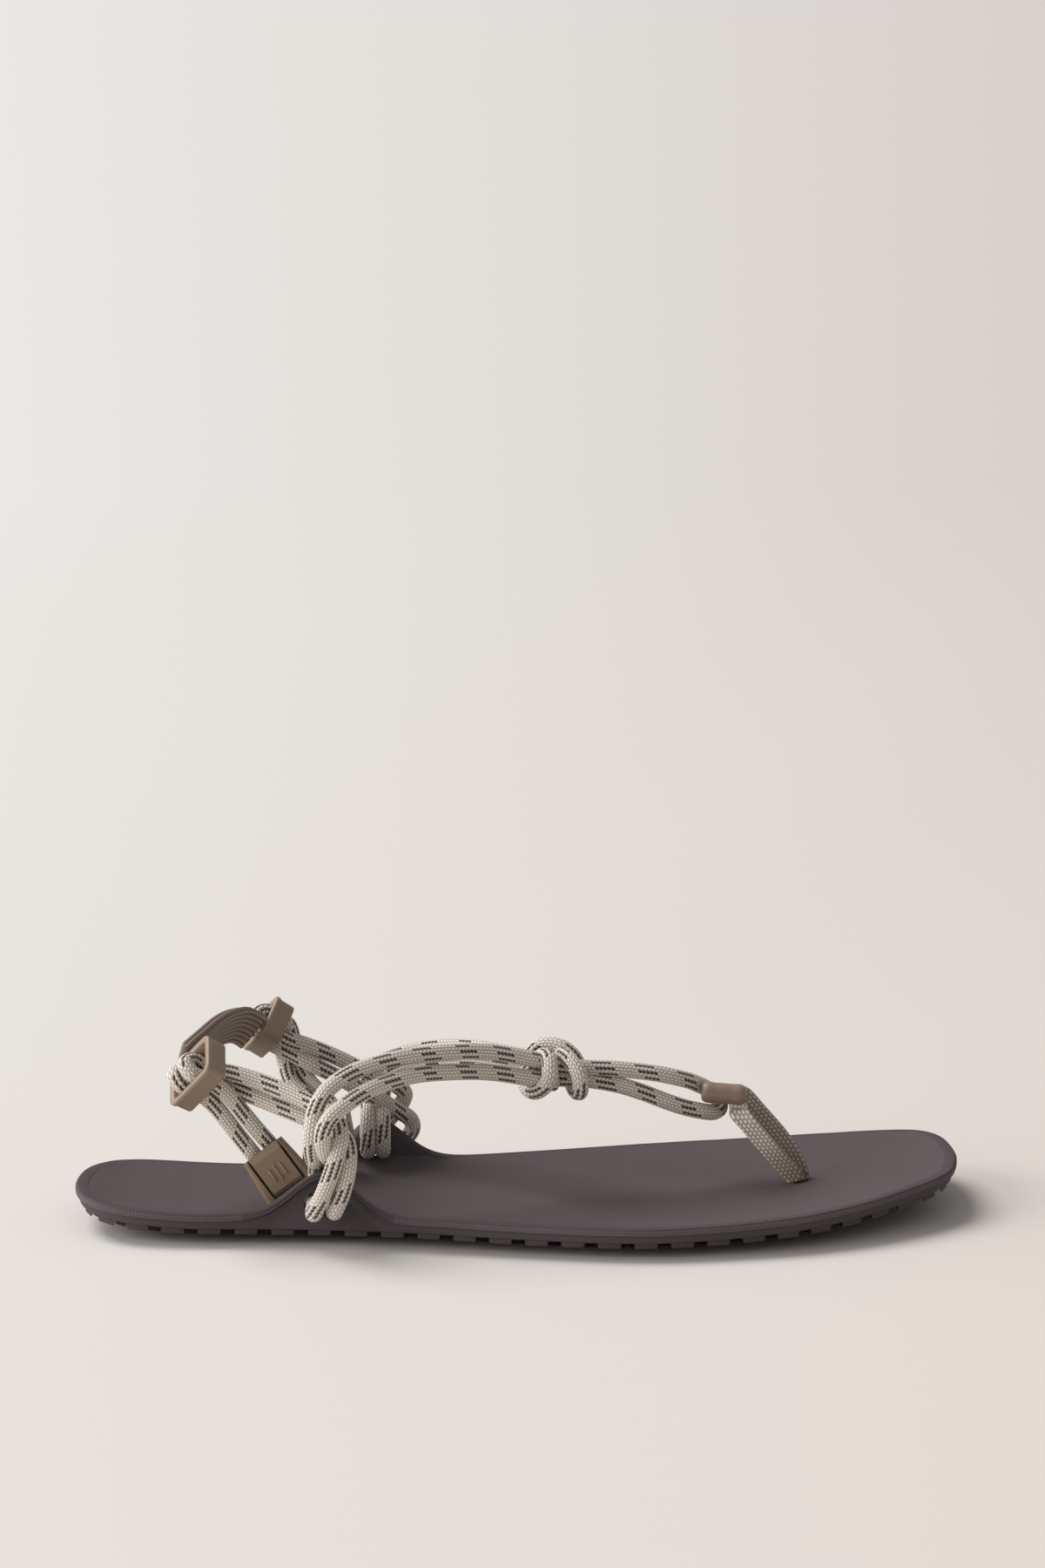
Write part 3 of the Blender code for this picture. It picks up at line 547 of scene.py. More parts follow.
def footbed():
    """The sheet, before the hole for the toe loop is cut."""
    strips = 0.5 - 0.5 * np.cos(np.linspace(0, math.pi, ACROSS + 1))
    edge_top = SHEET_EDGE + FLUSH + SWEEP * EAR_SHARE
    edge = at_ear(0.72, 0.95) * WALL_FOOT
    rings = [ring(1.15 * WALL_FOOT, SHEET_EDGE - SHEET), ring(edge - 0.05, edge_top - 0.15)]
    rings.append(ring(edge, edge_top))
    bm = bmesh.new()
    rows = loops(bm, rings, ends=False)
    ladder(bm, rows[0], rings[0], STRIPS, dished)
    ladder(bm, rows[-1], rings[-1], strips, sheet_top)
    return put("footbed_sheet", bm, FOOTBED_RUBBER, RUBBER_EDGE)


bed = footbed()
cut(bed, [slot_cutter("toe hole", TOE_HOLE, *TOE_HOLE_SIZE, "Z")], RUBBER_EDGE)
belongs(bed, "footbed_sheet", "footbed")

# %% [markdown]
# ## Braided cord
# The cord is braided on a machine with sixteen bobbins: eight turn left and eight turn right, so its
# surface shows sixteen columns of short slanted stitches, called picks, leaning left and right in turn.
# Three left-turning bobbins on each side carry dark yarn, which surfaces as short slanted flecks, the
# tracer. The picks are modelled as relief on the tube, and the colours are worked out from the cord's own
# length and turn, which the UV map carries in millimetres and turns.

# %% Thread pattern helpers
def uv_axes(tree):
    """The two axes of the UV map: place along a piece, and place across or round it."""
    node = add(tree, "SeparateXYZ", None, {0: add(tree, "TexCoord", out=2)}).node
    return node.outputs[0], node.outputs[1]


def split(tree, count):
    """Whole part and share of a running count, such as a count of columns or of picks."""
    return [add(tree, "Math", {"operation": part}, {0: count}) for part in ("FLOOR", "FRACT")]


def slanted(tree, along, column, share, pitch, slant):
    """Running count of threads that lean one way in even columns and the other way in odd ones."""
    odd = add(tree, "Math", {"operation": "FLOORED_MODULO"}, {0: column, 1: 2.0})
    lean = add(tree, "Math", {"operation": "MULTIPLY_ADD"}, {0: odd, 1: 2.0 * slant, 2: -slant})
    offset = add(tree, "Math", {"operation": "MULTIPLY"}, {0: lean, 1: share})
    return odd, add(tree, "Math", {"operation": "MULTIPLY_ADD"}, {0: along, 1: 1 / pitch, 2: offset})


def thread_height(tree, across, along):
    """Height of one thread: a half sine across it times a half sine along it."""
    humps = []
    for share in (across, along):
        angle = add(tree, "Math", {"operation": "MULTIPLY"}, {0: share, 1: math.pi})
        humps.append(add(tree, "Math", {"operation": "SINE"}, {0: angle}))
    return add(tree, "Math", {"operation": "MULTIPLY"}, {0: humps[0], 1: humps[1]})


# %% Cord material
COLUMNS = 16
PICK = 1.15                               # mm of length per pick
SLANT = 0.6                               # lean of a pick across its column, in picks
TRACER_REPEAT, TRACER_SHARE = 13.0, 0.42  # mm between flecks, and the dark share of that
TRACER_CLIMB = 0.6                        # picks by which a fleck climbs from column to column
TRACER_LAST = 4.5                         # the dark yarn is in the even columns of each half up to here
PICK_BUMP = 0.2                           # mm of shaded relief, over the modelled one


def braid():
    """Braided polyester cord, spun dull yarn: matt, soft, with a faint sheen at the edges."""
    mat, tree, shader = material("braided polyester cord", "d3cabf", 0.82, 1.5)
    shader["Sheen Weight"].default_value = 0.25
    shader["Sheen Roughness"].default_value = 0.5
    along, turn = uv_axes(tree)
    columns = add(tree, "Math", {"operation": "MULTIPLY"}, {0: turn, 1: float(COLUMNS)})
    column, across = split(tree, columns)
    odd, picks = slanted(tree, along, column, across, PICK, SLANT)
    place, within = split(tree, picks)
    # which pick is dark: three of the left-turning columns of each half, in flecks that climb a little
    in_half = add(tree, "Math", {"operation": "MODULO"}, {0: column, 1: COLUMNS / 2})
    early = add(tree, "Math", {"operation": "LESS_THAN"}, {0: in_half, 1: TRACER_LAST})
    even = add(tree, "Math", {"operation": "SUBTRACT"}, {0: 1.0, 1: odd})
    traced = add(tree, "Math", {"operation": "MULTIPLY"}, {0: early, 1: even})
    second = add(tree, "Math", {"operation": "GREATER_THAN"}, {0: column, 1: COLUMNS / 2 - 0.5})
    start = add(tree, "Math", {"operation": "MULTIPLY"}, {0: second, 1: TRACER_REPEAT / 2})
    climb = add(tree, "Math", {"operation": "MULTIPLY_ADD"}, {0: in_half, 1: -TRACER_CLIMB * PICK, 2: start})
    spot = add(tree, "Math", {"operation": "MULTIPLY_ADD"}, {0: place, 1: PICK, 2: climb})
    repeats = add(tree, "Math", {"operation": "MULTIPLY"}, {0: spot, 1: 1 / TRACER_REPEAT})
    phase = split(tree, repeats)[1]
    fleck = add(tree, "Math", {"operation": "LESS_THAN"}, {0: phase, 1: TRACER_SHARE})
    dark = add(tree, "Math", {"operation": "MULTIPLY"}, {0: fleck, 1: traced})
    # the dips between picks hold shade, and the dark yarn ends in rounded blobs
    height = thread_height(tree, across, within)
    height = add(tree, "Math", {"operation": "POWER"}, {0: height, 1: 0.8})
    yarn = {0: height, 6: linear("9a8a7d"), 7: linear("fff8ec")}
    pale = add(tree, "Mix", {"data_type": "RGBA"}, yarn, out=2)
    blob = add(tree, "MapRange", {"interpolation_type": "SMOOTHSTEP"}, {0: height, 1: 0.2, 2: 0.5})
    blob = add(tree, "Math", {"operation": "MULTIPLY"}, {0: dark, 1: blob})
    colour = add(tree, "Mix", {"data_type": "RGBA"}, {0: blob, 6: pale, 7: linear("130f0d")}, out=2)
    dress(tree, shader, colour, height, PICK_BUMP, 0.8)
    return mat


CORD = braid()

# %% [markdown]
# ## Cord routes
# Two cords run side by side from the knot on the instep to each ear, down through the ear's slot, round
# themselves in a cow hitch, back through a heel ring and down into a cord lock. One bight runs from the
# knot to the toe bead. The points of each route are the same ones as the solid's. A curve object
# with a round bevel would give plain tubes quickly, but it can't carry the picks, so each tube is built from
# rings that are carried along its route without twist.

# %% Routes
ROUTES = {
    "lateral_front": (
        (12.0, 1.0, 42.6), (3.5, -1.8, 45.0), (-8.7, -7.5, 48.4), (-20.6, -15.0, 50.0), (-32.5, -22.0, 50.2),
        (-43.9, -29.0, 48.7), (-50.0, -33.4, 46.6), (-54.4, -36.7, 43.4), (-57.0, -38.8, 38.8),
        (-58.0, -39.6, 33.4), (-58.3, -38.0, 28.0), (-57.8, -35.2, 23.9), (-57.4, -30.8, 22.3),
        (-57.3, -26.0, 19.2), (-57.4, -24.6, 14.0), (-57.5, -26.6, 10.2), (-57.7, -31.0, 9.2),
        (-57.8, -35.6, 8.1), (-57.4, -38.4, 9.0), (-56.2, -39.8, 12.0), (-54.6, -40.6, 15.6),
        (-52.6, -41.3, 21.0), (-50.9, -41.0, 26.4), (-49.9, -38.8, 30.8), (-50.7, -35.4, 34.4),
        (-54.0, -31.4, 36.8),
        (-60.0, -27.6, 38.8), (-67.1, -24.0, 41.3), (-74.9, -20.6, 43.4), (-81.6, -18.4, 44.8),
        (-86.9, -18.6, 45.6), (-90.1, -20.0, 47.5), (-92.7, -21.0, 49.1), (-94.4, -23.9, 48.6),
        (-92.5, -25.4, 46.2), (-89.9, -24.2, 44.7), (-86.7, -22.8, 42.8), (-82.3, -20.6, 38.6),
        (-77.8, -18.6, 32.4), (-74.1, -17.2, 27.4), (-71.0, -16.2, 23.5), (-68.8, -16.7, 20.6),
    ),
    "lateral_rear": (
        (12.0, -1.0, 37.2), (3.5, -3.6, 39.6), (-8.7, -9.4, 42.8), (-20.6, -17.0, 44.6), (-30.0, -23.6, 45.2),
        (-38.6, -30.6, 44.3), (-44.4, -35.6, 42.6), (-49.0, -39.4, 40.2), (-52.8, -42.2, 37.4),
        (-54.7, -43.0, 33.8), (-54.9, -41.4, 29.8), (-54.2, -37.8, 25.8), (-52.8, -34.0, 23.4),
        (-52.4, -30.6, 22.4), (-52.2, -26.0, 19.2), (-52.0, -24.6, 14.0), (-51.9, -26.6, 10.2),
        (-51.9, -31.0, 9.3), (-52.0, -35.5, 8.5), (-51.6, -38.0, 9.5), (-50.4, -39.0, 12.4),
        (-49.2, -39.4, 15.8), (-48.1, -39.2, 20.2), (-47.6, -37.9, 24.6), (-48.3, -34.6, 28.6),
        (-52.0, -29.4, 31.2), (-60.4, -25.2, 33.4),
        (-67.2, -22.0, 35.4), (-75.1, -18.6, 37.8), (-82.4, -16.2, 40.2), (-90.1, -16.0, 41.9),
        (-93.3, -17.6, 43.7), (-95.9, -18.7, 45.3), (-97.5, -21.5, 44.8), (-95.7, -23.0, 42.4),
        (-93.1, -21.8, 40.9), (-89.9, -20.6, 38.9), (-86.4, -19.4, 35.4), (-82.9, -18.4, 30.6),
        (-78.9, -17.6, 25.0), (-75.4, -17.0, 20.3), (-73.2, -17.5, 17.5),
    ),
    "medial_front": (
        (12.0, 3.6, 43.0), (5.4, 6.8, 43.2), (-4.1, 13.6, 43.2), (-11.2, 19.8, 43.0), (-18.6, 26.0, 42.0),
        (-26.1, 31.2, 40.2), (-33.6, 35.4, 37.6), (-40.0, 38.4, 34.4), (-44.2, 39.4, 30.6),
        (-45.6, 38.0, 26.4), (-44.8, 34.6, 23.4), (-44.0, 30.2, 22.6), (-43.8, 25.6, 20.0),
        (-43.8, 23.8, 14.6), (-43.8, 25.4, 10.8), (-43.9, 29.8, 9.9), (-43.8, 34.4, 9.4),
        (-42.4, 37.2, 11.4), (-39.0, 38.6, 15.6), (-35.0, 38.6, 20.4), (-33.2, 36.2, 25.0),
        (-35.6, 32.4, 28.6), (-40.6, 29.8, 31.8), (-46.6, 28.0, 35.0), (-53.8, 26.2, 39.0),
        (-61.4, 23.6, 42.8), (-67.3, 20.8, 45.3), (-71.8, 20.0, 48.4), (-74.4, 19.8, 50.2),
        (-75.5, 21.4, 52.7), (-73.0, 23.1, 53.0), (-70.4, 23.5, 51.2), (-67.1, 24.8, 48.8),
        (-65.8, 27.0, 44.4), (-64.6, 27.4, 37.6), (-60.8, 23.4, 32.0), (-55.8, 18.2, 28.2),
        (-53.0, 15.5, 24.4), (-52.5, 15.8, 19.1),
    ),
    "medial_rear": (
        (12.0, 5.0, 37.8), (5.4, 8.6, 38.0), (-4.1, 15.2, 38.0), (-11.2, 21.2, 37.8), (-18.6, 27.0, 36.8),
        (-26.0, 31.8, 35.2), (-32.4, 35.4, 33.0), (-37.0, 37.8, 30.2), (-39.2, 37.8, 26.8),
        (-39.8, 34.8, 23.8), (-39.5, 30.4, 22.8), (-39.5, 25.8, 20.0), (-39.5, 24.0, 14.6),
        (-39.5, 25.6, 10.8), (-39.5, 30.0, 9.9), (-39.0, 34.8, 9.2), (-36.4, 38.0, 9.4),
        (-33.0, 39.4, 10.8), (-31.0, 38.2, 14.0), (-31.6, 34.8, 17.8), (-35.2, 31.0, 21.4),
        (-41.2, 27.2, 26.0), (-47.4, 24.6, 30.2), (-53.4, 23.4, 33.8), (-60.0, 22.8, 37.4),
        (-67.0, 23.9, 40.8), (-70.8, 23.9, 42.7), (-74.4, 23.5, 45.2), (-77.0, 23.2, 47.0),
        (-78.1, 24.9, 49.5), (-75.6, 26.7, 49.8), (-73.0, 27.0, 48.0), (-70.7, 27.1, 46.0),
        (-68.7, 27.4, 39.8), (-66.2, 21.8, 32.4), (-60.8, 16.8, 28.6), (-58.5, 15.2, 24.9),
        (-58.0, 15.8, 19.1),
    ),
    "toe_upper": (
        (7.0, 0.0, 43.0), (14.0, 0.6, 42.0), (20.0, 1.2, 41.5), (26.4, 2.2, 41.1), (33.0, 3.6, 40.2),
        (39.8, 5.0, 39.0), (45.4, 7.0, 37.4), (49.6, 10.0, 35.6), (52.2, 13.4, 33.8), (54.6, 16.2, 32.0),
        (57.4, 17.2, 29.8),
    ),
    "toe_lower": (
        (7.0, 0.4, 38.6), (14.0, 0.8, 38.4), (20.4, 1.2, 38.0), (29.2, 2.5, 36.1), (35.8, 3.6, 33.8),
        (41.6, 4.6, 31.3), (47.4, 6.0, 28.9), (53.0, 8.2, 27.0), (57.0, 11.2, 25.9), (59.0, 14.6, 26.6),
        (58.0, 17.0, 29.2),
    ),
    "knot_arch": (
        (4.0, 5.6, 41.0), (4.4, 6.2, 44.6), (7.6, 6.2, 47.0), (12.4, 5.0, 46.8), (16.0, 3.8, 44.4),
        (17.4, 3.2, 41.2), (16.6, 3.4, 38.0),
    ),
    "knot_left": (
        (6.6, 3.2, 44.6), (8.8, -1.8, 45.2), (9.4, -5.0, 42.6), (9.0, -5.8, 39.4), (6.8, -4.8, 36.6),
        (4.4, -2.4, 35.4), (2.6, 1.4, 36.2), (2.4, 5.0, 38.4), (4.0, 6.2, 41.0),
    ),
    "knot_right": (
        (12.0, 4.0, 44.8), (14.6, -1.2, 44.8), (17.4, -4.4, 41.8), (18.2, -5.0, 38.2), (18.0, -3.0, 35.4),
        (16.8, 1.0, 35.0), (15.6, 4.0, 37.2),
    ),
}

# %% Cord sizes
CORD_R = 2.36
PICK_HIGH, PICK_SUNK = 0.13, 0.6          # relief of a pick, and the share of it below the cord's radius
PICK_SIDES = 3                            # points across a pick
SIDES = PICK_SIDES * COLUMNS
RING_STEP = 0.3                           # mm between rings of points
END_ROUND = 1.2                           # mm over which a cut end is rounded
SEEN_FROM = np.array((0.0, -0.97, 0.22))  # the side from which a sandal like this is looked at
TRACER_MIDDLE = 2.5                       # column in the middle of a fleck
TWIST_LENGTH = 14.0                       # mm over which the cord may turn


# %% Tube helpers
def cross_axes(line):
    """Two cross axes carried along a line without twist."""
    tangents = unit(np.gradient(line, axis=0))
    side = np.cross(tangents[0], (0.0, 0.0, 1.0))
    sides = []
    for t in tangents:
        side = side - t * (side @ t)
        side = side / np.linalg.norm(side)
        sides.append(side)
    sides = np.array(sides)
    return sides, np.cross(tangents, sides)


def tube_mesh(name, points, uv, mat):
    """Closed tube from rings of points; uv has one more column than the rings, for the seam."""
    rings, sides = points.shape[:2]
    index = np.arange(rings * sides).reshape(rings, sides)
    right = np.roll(index, -1, 1)
    quads = np.stack((index[:-1], right[:-1], right[1:], index[1:]), -1).reshape(-1, 4)
    mesh = bpy.data.meshes.new(name)
    faces = [index[0][::-1].tolist(), *quads.tolist(), index[-1].tolist()]
    mesh.from_pydata(((points.reshape(-1, 3) - MIDDLE) * MM).tolist(), [], faces)
    layer = mesh.uv_layers.new(name="braid")
    corner = np.stack((uv[:-1, :-1], uv[:-1, 1:], uv[1:, 1:], uv[1:, :-1]), 2).reshape(-1, 2)
    caps = np.repeat(uv[:1, :1].reshape(1, 2), sides, 0)
    layer.uv.foreach_set("vector", np.vstack((caps, corner, caps)).astype(np.float32).ravel())
    mesh.materials.append(mat)
    mesh.shade_smooth()
    obj = bpy.data.objects.new(name, mesh)
    bpy.context.scene.collection.objects.link(obj)
    print(name, len(quads), "quads")
    return obj


# %% Cord tubes
def facing(side, up, along):
    """Turn that shows the tracer to the side it is seen from, slow enough for a real cord."""
    u, v = side @ SEEN_FROM, up @ SEEN_FROM
    wanted = np.unwrap(np.arctan2(v, u))
    weight = (u ** 2 + v ** 2) ** 2 + 1e-3
    reach = np.exp(-((along[:, None] - along[None, :]) / TWIST_LENGTH) ** 2)
    return reach @ (weight * wanted) / (reach @ weight)


def cord(name, route):
    """One cord with its picks as relief and its UV map in millimetres and turns."""
    dense = curve(route)
    line = evenly(dense, int(lengths(dense)[-1] / RING_STEP))
    along = lengths(line)
    side, up = cross_axes(line)
    roll = facing(side, up, along)
    k = np.arange(SIDES)
    column, across = k // PICK_SIDES, (k % PICK_SIDES) / PICK_SIDES
    lean = np.where(column % 2 == 1, SLANT, -SLANT)
    picks = along[:, None] / PICK + (lean * across)[None, :]
    relief = np.sin(np.pi * across)[None, :] * np.sqrt(np.abs(np.sin(np.pi * picks)))
    end = np.minimum(along, along[-1] - along)
    rounded = np.sqrt(1 - np.clip(1 - end / END_ROUND, 0, 0.9) ** 2)
    radius = (CORD_R + PICK_HIGH * (relief - PICK_SUNK)) * rounded[:, None]
    turn = (2 * np.pi * (k / SIDES - TRACER_MIDDLE / COLUMNS)[None, :] + roll[:, None])[..., None]
    spokes = side[:, None] * np.cos(turn) + up[:, None] * np.sin(turn)
    points = line[:, None] + spokes * radius[..., None]
    uv = np.stack(np.broadcast_arrays(along[:, None], (np.arange(SIDES + 1) / SIDES)[None, :]), -1)
    return tube_mesh("cord_" + name, points, uv, CORD)


cords = [cord(name, route) for name, route in ROUTES.items()]
for piece in cords:
    belongs(piece, "braided_cord", "cord_upper")

# %% [markdown]
# ## Brown plastic
# The rings, cord locks and bead are injection moulded from acetal, a tough, slightly waxy plastic. Its
# surface is satin: a broad highlight along every rounded edge. Acetal's index of refraction is 1.48. A very
# low bump of fine noise breaks the highlight, as the etched steel of a mould does.

# %% Plastic material
ETCH, ETCH_DEEP = 0.5, 0.01               # mm of the etched grain, and its depth


def plastic(name, colour, roughness):
    """Injection-moulded acetal with the satin face of an etched mould: broad, quiet highlights."""
    mat, tree, shader = material(name, colour, roughness, 1.48)
    spot = add(tree, "TexCoord", out=3)
    grain = add(tree, "TexNoise", None, {"Vector": spot, "Scale": 1 / (ETCH * MM), "Detail": 2.0})
    dress(tree, shader, None, grain, ETCH_DEEP, 0.4)
    return mat


RING_PLASTIC = plastic("moulded acetal, satin, light brown", "97826f", 0.42)
LOCK_PLASTIC = plastic("moulded acetal, satin, dark brown", "89745e", 0.38)
BEAD_PLASTIC = plastic("moulded acetal, satin, rose brown", "917a6b", 0.40)

# %% [markdown]
# ## Heel rings
# Each ring is a short collar through which a bight of both cords is pulled. Its mouth has a thicker
# rounded lip, which keeps the cord from chafing. It is a skin over rounded rectangles of changing size.

# %% Rings
RINGS = {
    # middle, direction of the cord, direction of the long side, its outer size
    "lateral": ((-91.0, -21.2, 45.1), (0.81, 0.35, -0.475), (-0.59, 0.42, -0.69), 19.2),
    "medial": ((-72.5, 23.6, 48.1), (0.82, 0.10, -0.55), (-0.48, 0.65, -0.59), 14.2),
}
RING_TALL, RING_DEEP, RING_WALL, RING_ROUND = 13.9, 6.4, 1.7, 2.6


def axes(along, side):
    """Three cross axes: along, side made square to it, and the third."""
    a = unit(np.array(along, float))
    s = np.array(side, float)
    s = unit(s - a * (s @ a))
    return a, s, np.cross(a, s)


def rounded_rectangle(wide, tall, corner, steps=8):
    """Points round a rectangle with rounded corners."""
    pts = []
    for sx, sy, start in ((1, 1, 0), (-1, 1, 90), (-1, -1, 180), (1, -1, 270)):
        for angle in np.radians(start + np.linspace(0, 90, steps)):
            pts.append((sx * (wide / 2 - corner) + corner * math.cos(angle),
                        sy * (tall / 2 - corner) + corner * math.sin(angle)))
    return np.array(pts)


def heel_ring(side):
    """One collar, with a thicker lip at the mouth where the bight comes out."""
    at, along, wide, size = RINGS[side]
    a, w, t = axes(along, wide)
    half = RING_DEEP / 2
    collar = (
        # place along the cord, growth of the rectangle to each side
        (-half + 0.5, -RING_WALL), (-half + 0.12, -RING_WALL + 0.35), (-half, -RING_WALL + 0.8),
        (-half, -0.2), (-half + 0.12, 0.15), (-half + 0.45, 0.3), (-half + 1.2, 0.3), (-half + 1.6, 0.15),
        (-half + 1.9, 0.0), (half - 0.6, 0.0), (half - 0.15, -0.15), (half, -0.55),
        (half, -RING_WALL + 0.5), (half - 0.2, -RING_WALL + 0.15), (half - 0.6, -RING_WALL),
    )
    rings = []
    for shift, grow in collar + collar[:1]:
        flat = rounded_rectangle(size + 2 * grow, RING_TALL + 2 * grow, RING_ROUND + grow * 0.7)
        rings.append(np.array(at) + a * shift + flat[:, :1] * w + flat[:, 1:] * t)
    bm = bmesh.new()
    loops(bm, rings, ends=False)
    bmesh.ops.remove_doubles(bm, verts=bm.verts[:], dist=0.001)
    return put("heel_ring_" + side, bm, RING_PLASTIC, PLASTIC_EDGE)


for ring_side in RINGS:
    belongs(heel_ring(ring_side), "brown_plastic", "ring_" + ring_side)

# %% [markdown]
# ## Cord locks
# Inside each ear a lock grips the two cord ends: a channel-shaped housing, and a spring panel that is
# pressed to let the cord slide. The solids have the right form, so they stay, and a bevel modifier rounds
# their edges as a mould would. Three plain ribs give the thumb a grip.

# %% Locks
LOCKS = {
    # middle of the panel, direction of the cords, outward
    "lateral": ((-68.4, -22.4, 16.7), (-0.60, 0.16, 0.785), (0.0, -0.966, 0.259)),
    "medial": ((-55.0, 21.0, 16.8), (-0.06, -0.16, 0.985), (0.0, 0.966, 0.259)),
}
HOUSING_ROUND, PANEL_ROUND = 0.55, 0.45   # mm of the bevel
BEVEL_ANGLE = 30                          # degrees; flatter edges stay as they are
RIB_LONG, RIB_WIDE, RIB_PITCH, RIB_PROUD = 5.6, 0.8, 1.9, 0.35
RIB_SHORTER, RIB_ROUND = 1.4, 0.25        # the outer ribs are shorter; rounding of a rib's top
PANEL_FACE, RIB_SUNK = 0.6, 0.3           # from the panel's middle to its face; depth of a rib's root


def soften(node, width):
    """Round the edges of a solid and give it its plastic."""
    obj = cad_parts[node]
    obj.data.materials.clear()
    obj.data.materials.append(LOCK_PLASTIC)
    mod = obj.modifiers.new("rounded edges", "BEVEL")
    mod.width = width * MM
    mod.segments = 3
    mod.limit_method = "ANGLE"
    mod.angle_limit = math.radians(BEVEL_ANGLE)
    mod.harden_normals = True
    obj.data.shade_smooth()


def grip_ribs(side):
    """Three ribs on the panel's face."""
    at, along, out = LOCKS[side]
    a, o, w = axes(along, out)
    bm = bmesh.new()
    for k in (-1, 0, 1):
        rings = []
        long = RIB_LONG - (RIB_SHORTER if k else 0.0)
        for high, shrink in ((PANEL_FACE - RIB_SUNK, 0.0), (PANEL_FACE + RIB_PROUD * 0.6, 0.0),
                             (PANEL_FACE + RIB_PROUD, RIB_ROUND)):
            flat = rounded_rectangle(long - shrink, RIB_WIDE - shrink, (RIB_WIDE - shrink) / 2.01, 6)
            rings.append(np.array(at) + o * high + flat[:, :1] * a + (flat[:, 1:] + k * RIB_PITCH) * w)
        loops(bm, rings)
    return put("grip_ribs_" + side, bm, LOCK_PLASTIC, PLASTIC_EDGE)


for lock_side in LOCKS:
    soften("lock_housing_" + lock_side, HOUSING_ROUND)
    soften("lock_panel_" + lock_side, PANEL_ROUND)
    belongs(grip_ribs(lock_side), "brown_plastic")

# %% [markdown]
# ## Heel strap and tab
# The strap over the heel is a narrow woven band, brown with a pale herringbone, which comes from shifting
# the order of the warp threads every few ends. A thin plastic strip is laid on its outer face. The threads
# are raised a little on the mesh, and a UV map in millimetres lets the shader colour the same threads.

# %% Heel strap materials
STRAP_COLUMN, STRAP_PITCH = 1.5, 1.0      # mm across a column of the herringbone, and from thread to thread
WEAVE_BUMP = 0.2                          # mm of shaded relief, over the modelled one


def woven(name, dark, pale, column_mm, pitch_mm):
    """Woven polyester: columns of slanted threads that change direction; matt, with a faint sheen."""
    mat, tree, shader = material(name, dark, 0.85, 1.5)
    shader["Sheen Weight"].default_value = 0.2
    along, across = uv_axes(tree)
    columns = add(tree, "Math", {"operation": "MULTIPLY"}, {0: across, 1: 1 / column_mm})
    column, share = split(tree, columns)
    threads = slanted(tree, along, column, share, pitch_mm, 1.0)[1]
    height = thread_height(tree, share, split(tree, threads)[1])
    colour = add(tree, "Mix", {"data_type": "RGBA"}, {0: height, 6: linear(dark), 7: linear(pale)}, out=2)
    dress(tree, shader, colour, height, WEAVE_BUMP, 0.7)
    return mat


HEEL_WEAVE = woven("woven polyester band, herringbone", "5a4338", "c4b0a0", STRAP_COLUMN, STRAP_PITCH)
TAB_PLASTIC = plastic("moulded acetal, satin, taupe", "8b7a6f", 0.45)

# %% [markdown]
# ## Toe loop
# The loop between the toes is a flat tape in plain weave, whose threads show as rows of dots, every other
# column shifted by half a dot. Painted light and shade run along it: pale, as if lit, where it comes out of
# the bead, and darker with painted shade down at the sole and on the far leg. A colour ramp along the tape's
# length gives that change.

# %% Tape material
TAPE_COLUMN, TAPE_PITCH, TAPE_LONG = 1.1, 1.4, 70.0    # mm across a dot, along a dot, and of the ramp
# painted light and shade along the tape: lit pale below the bead, shaded darker at the sole and on the far
# leg
TAPE_PAINTED_LIGHT = (
    # share of the tape's length, colour there with its painted light and shade
    (0.02, "b5a595"), (0.12, "cdbfad"), (0.22, "f7eee2"), (0.38, "fff8ee"), (0.50, "d9ccbe"),
    (0.62, "cfc1b2"), (0.98, "c2b3a3"),
)


def tape():
    """Woven polyester tape: matt dots with shade between them."""
    mat, tree, shader = material("woven polyester tape, plain", "dcd1c2", 0.85, 1.5)
    shader["Sheen Weight"].default_value = 0.2
    along, across = uv_axes(tree)
    columns = add(tree, "Math", {"operation": "MULTIPLY"}, {0: across, 1: 1 / TAPE_COLUMN})
    column, share = split(tree, columns)
    shifted = add(tree, "Math", {"operation": "MULTIPLY"}, {0: column, 1: 0.5})
    picks = add(tree, "Math", {"operation": "MULTIPLY_ADD"}, {0: along, 1: 1 / TAPE_PITCH, 2: shifted})
    height = thread_height(tree, share, split(tree, picks)[1])
    # painted light and shade: a colour ramp along the tape's length
    place = add(tree, "Math", {"operation": "DIVIDE"}, {0: along, 1: TAPE_LONG})
    painted_light = add(tree, "ValToRGB", None, {0: place})
    ramp = painted_light.node.color_ramp
    for stop, code in TAPE_PAINTED_LIGHT:
        ramp.elements.new(stop).color = linear(code)
    ramp.elements.remove(ramp.elements[0])
    ramp.elements.remove(ramp.elements[-1])
    dip = add(tree, "Mix", {"data_type": "RGBA", "blend_type": "MULTIPLY"},
              {0: 1.0, 6: painted_light, 7: linear("9a8f86")}, out=2)
    colour = add(tree, "Mix", {"data_type": "RGBA"}, {0: height, 6: dip, 7: painted_light}, out=2)
    dress(tree, shader, colour, height, WEAVE_BUMP, 0.8)
    return mat


TOE_WEAVE = tape()

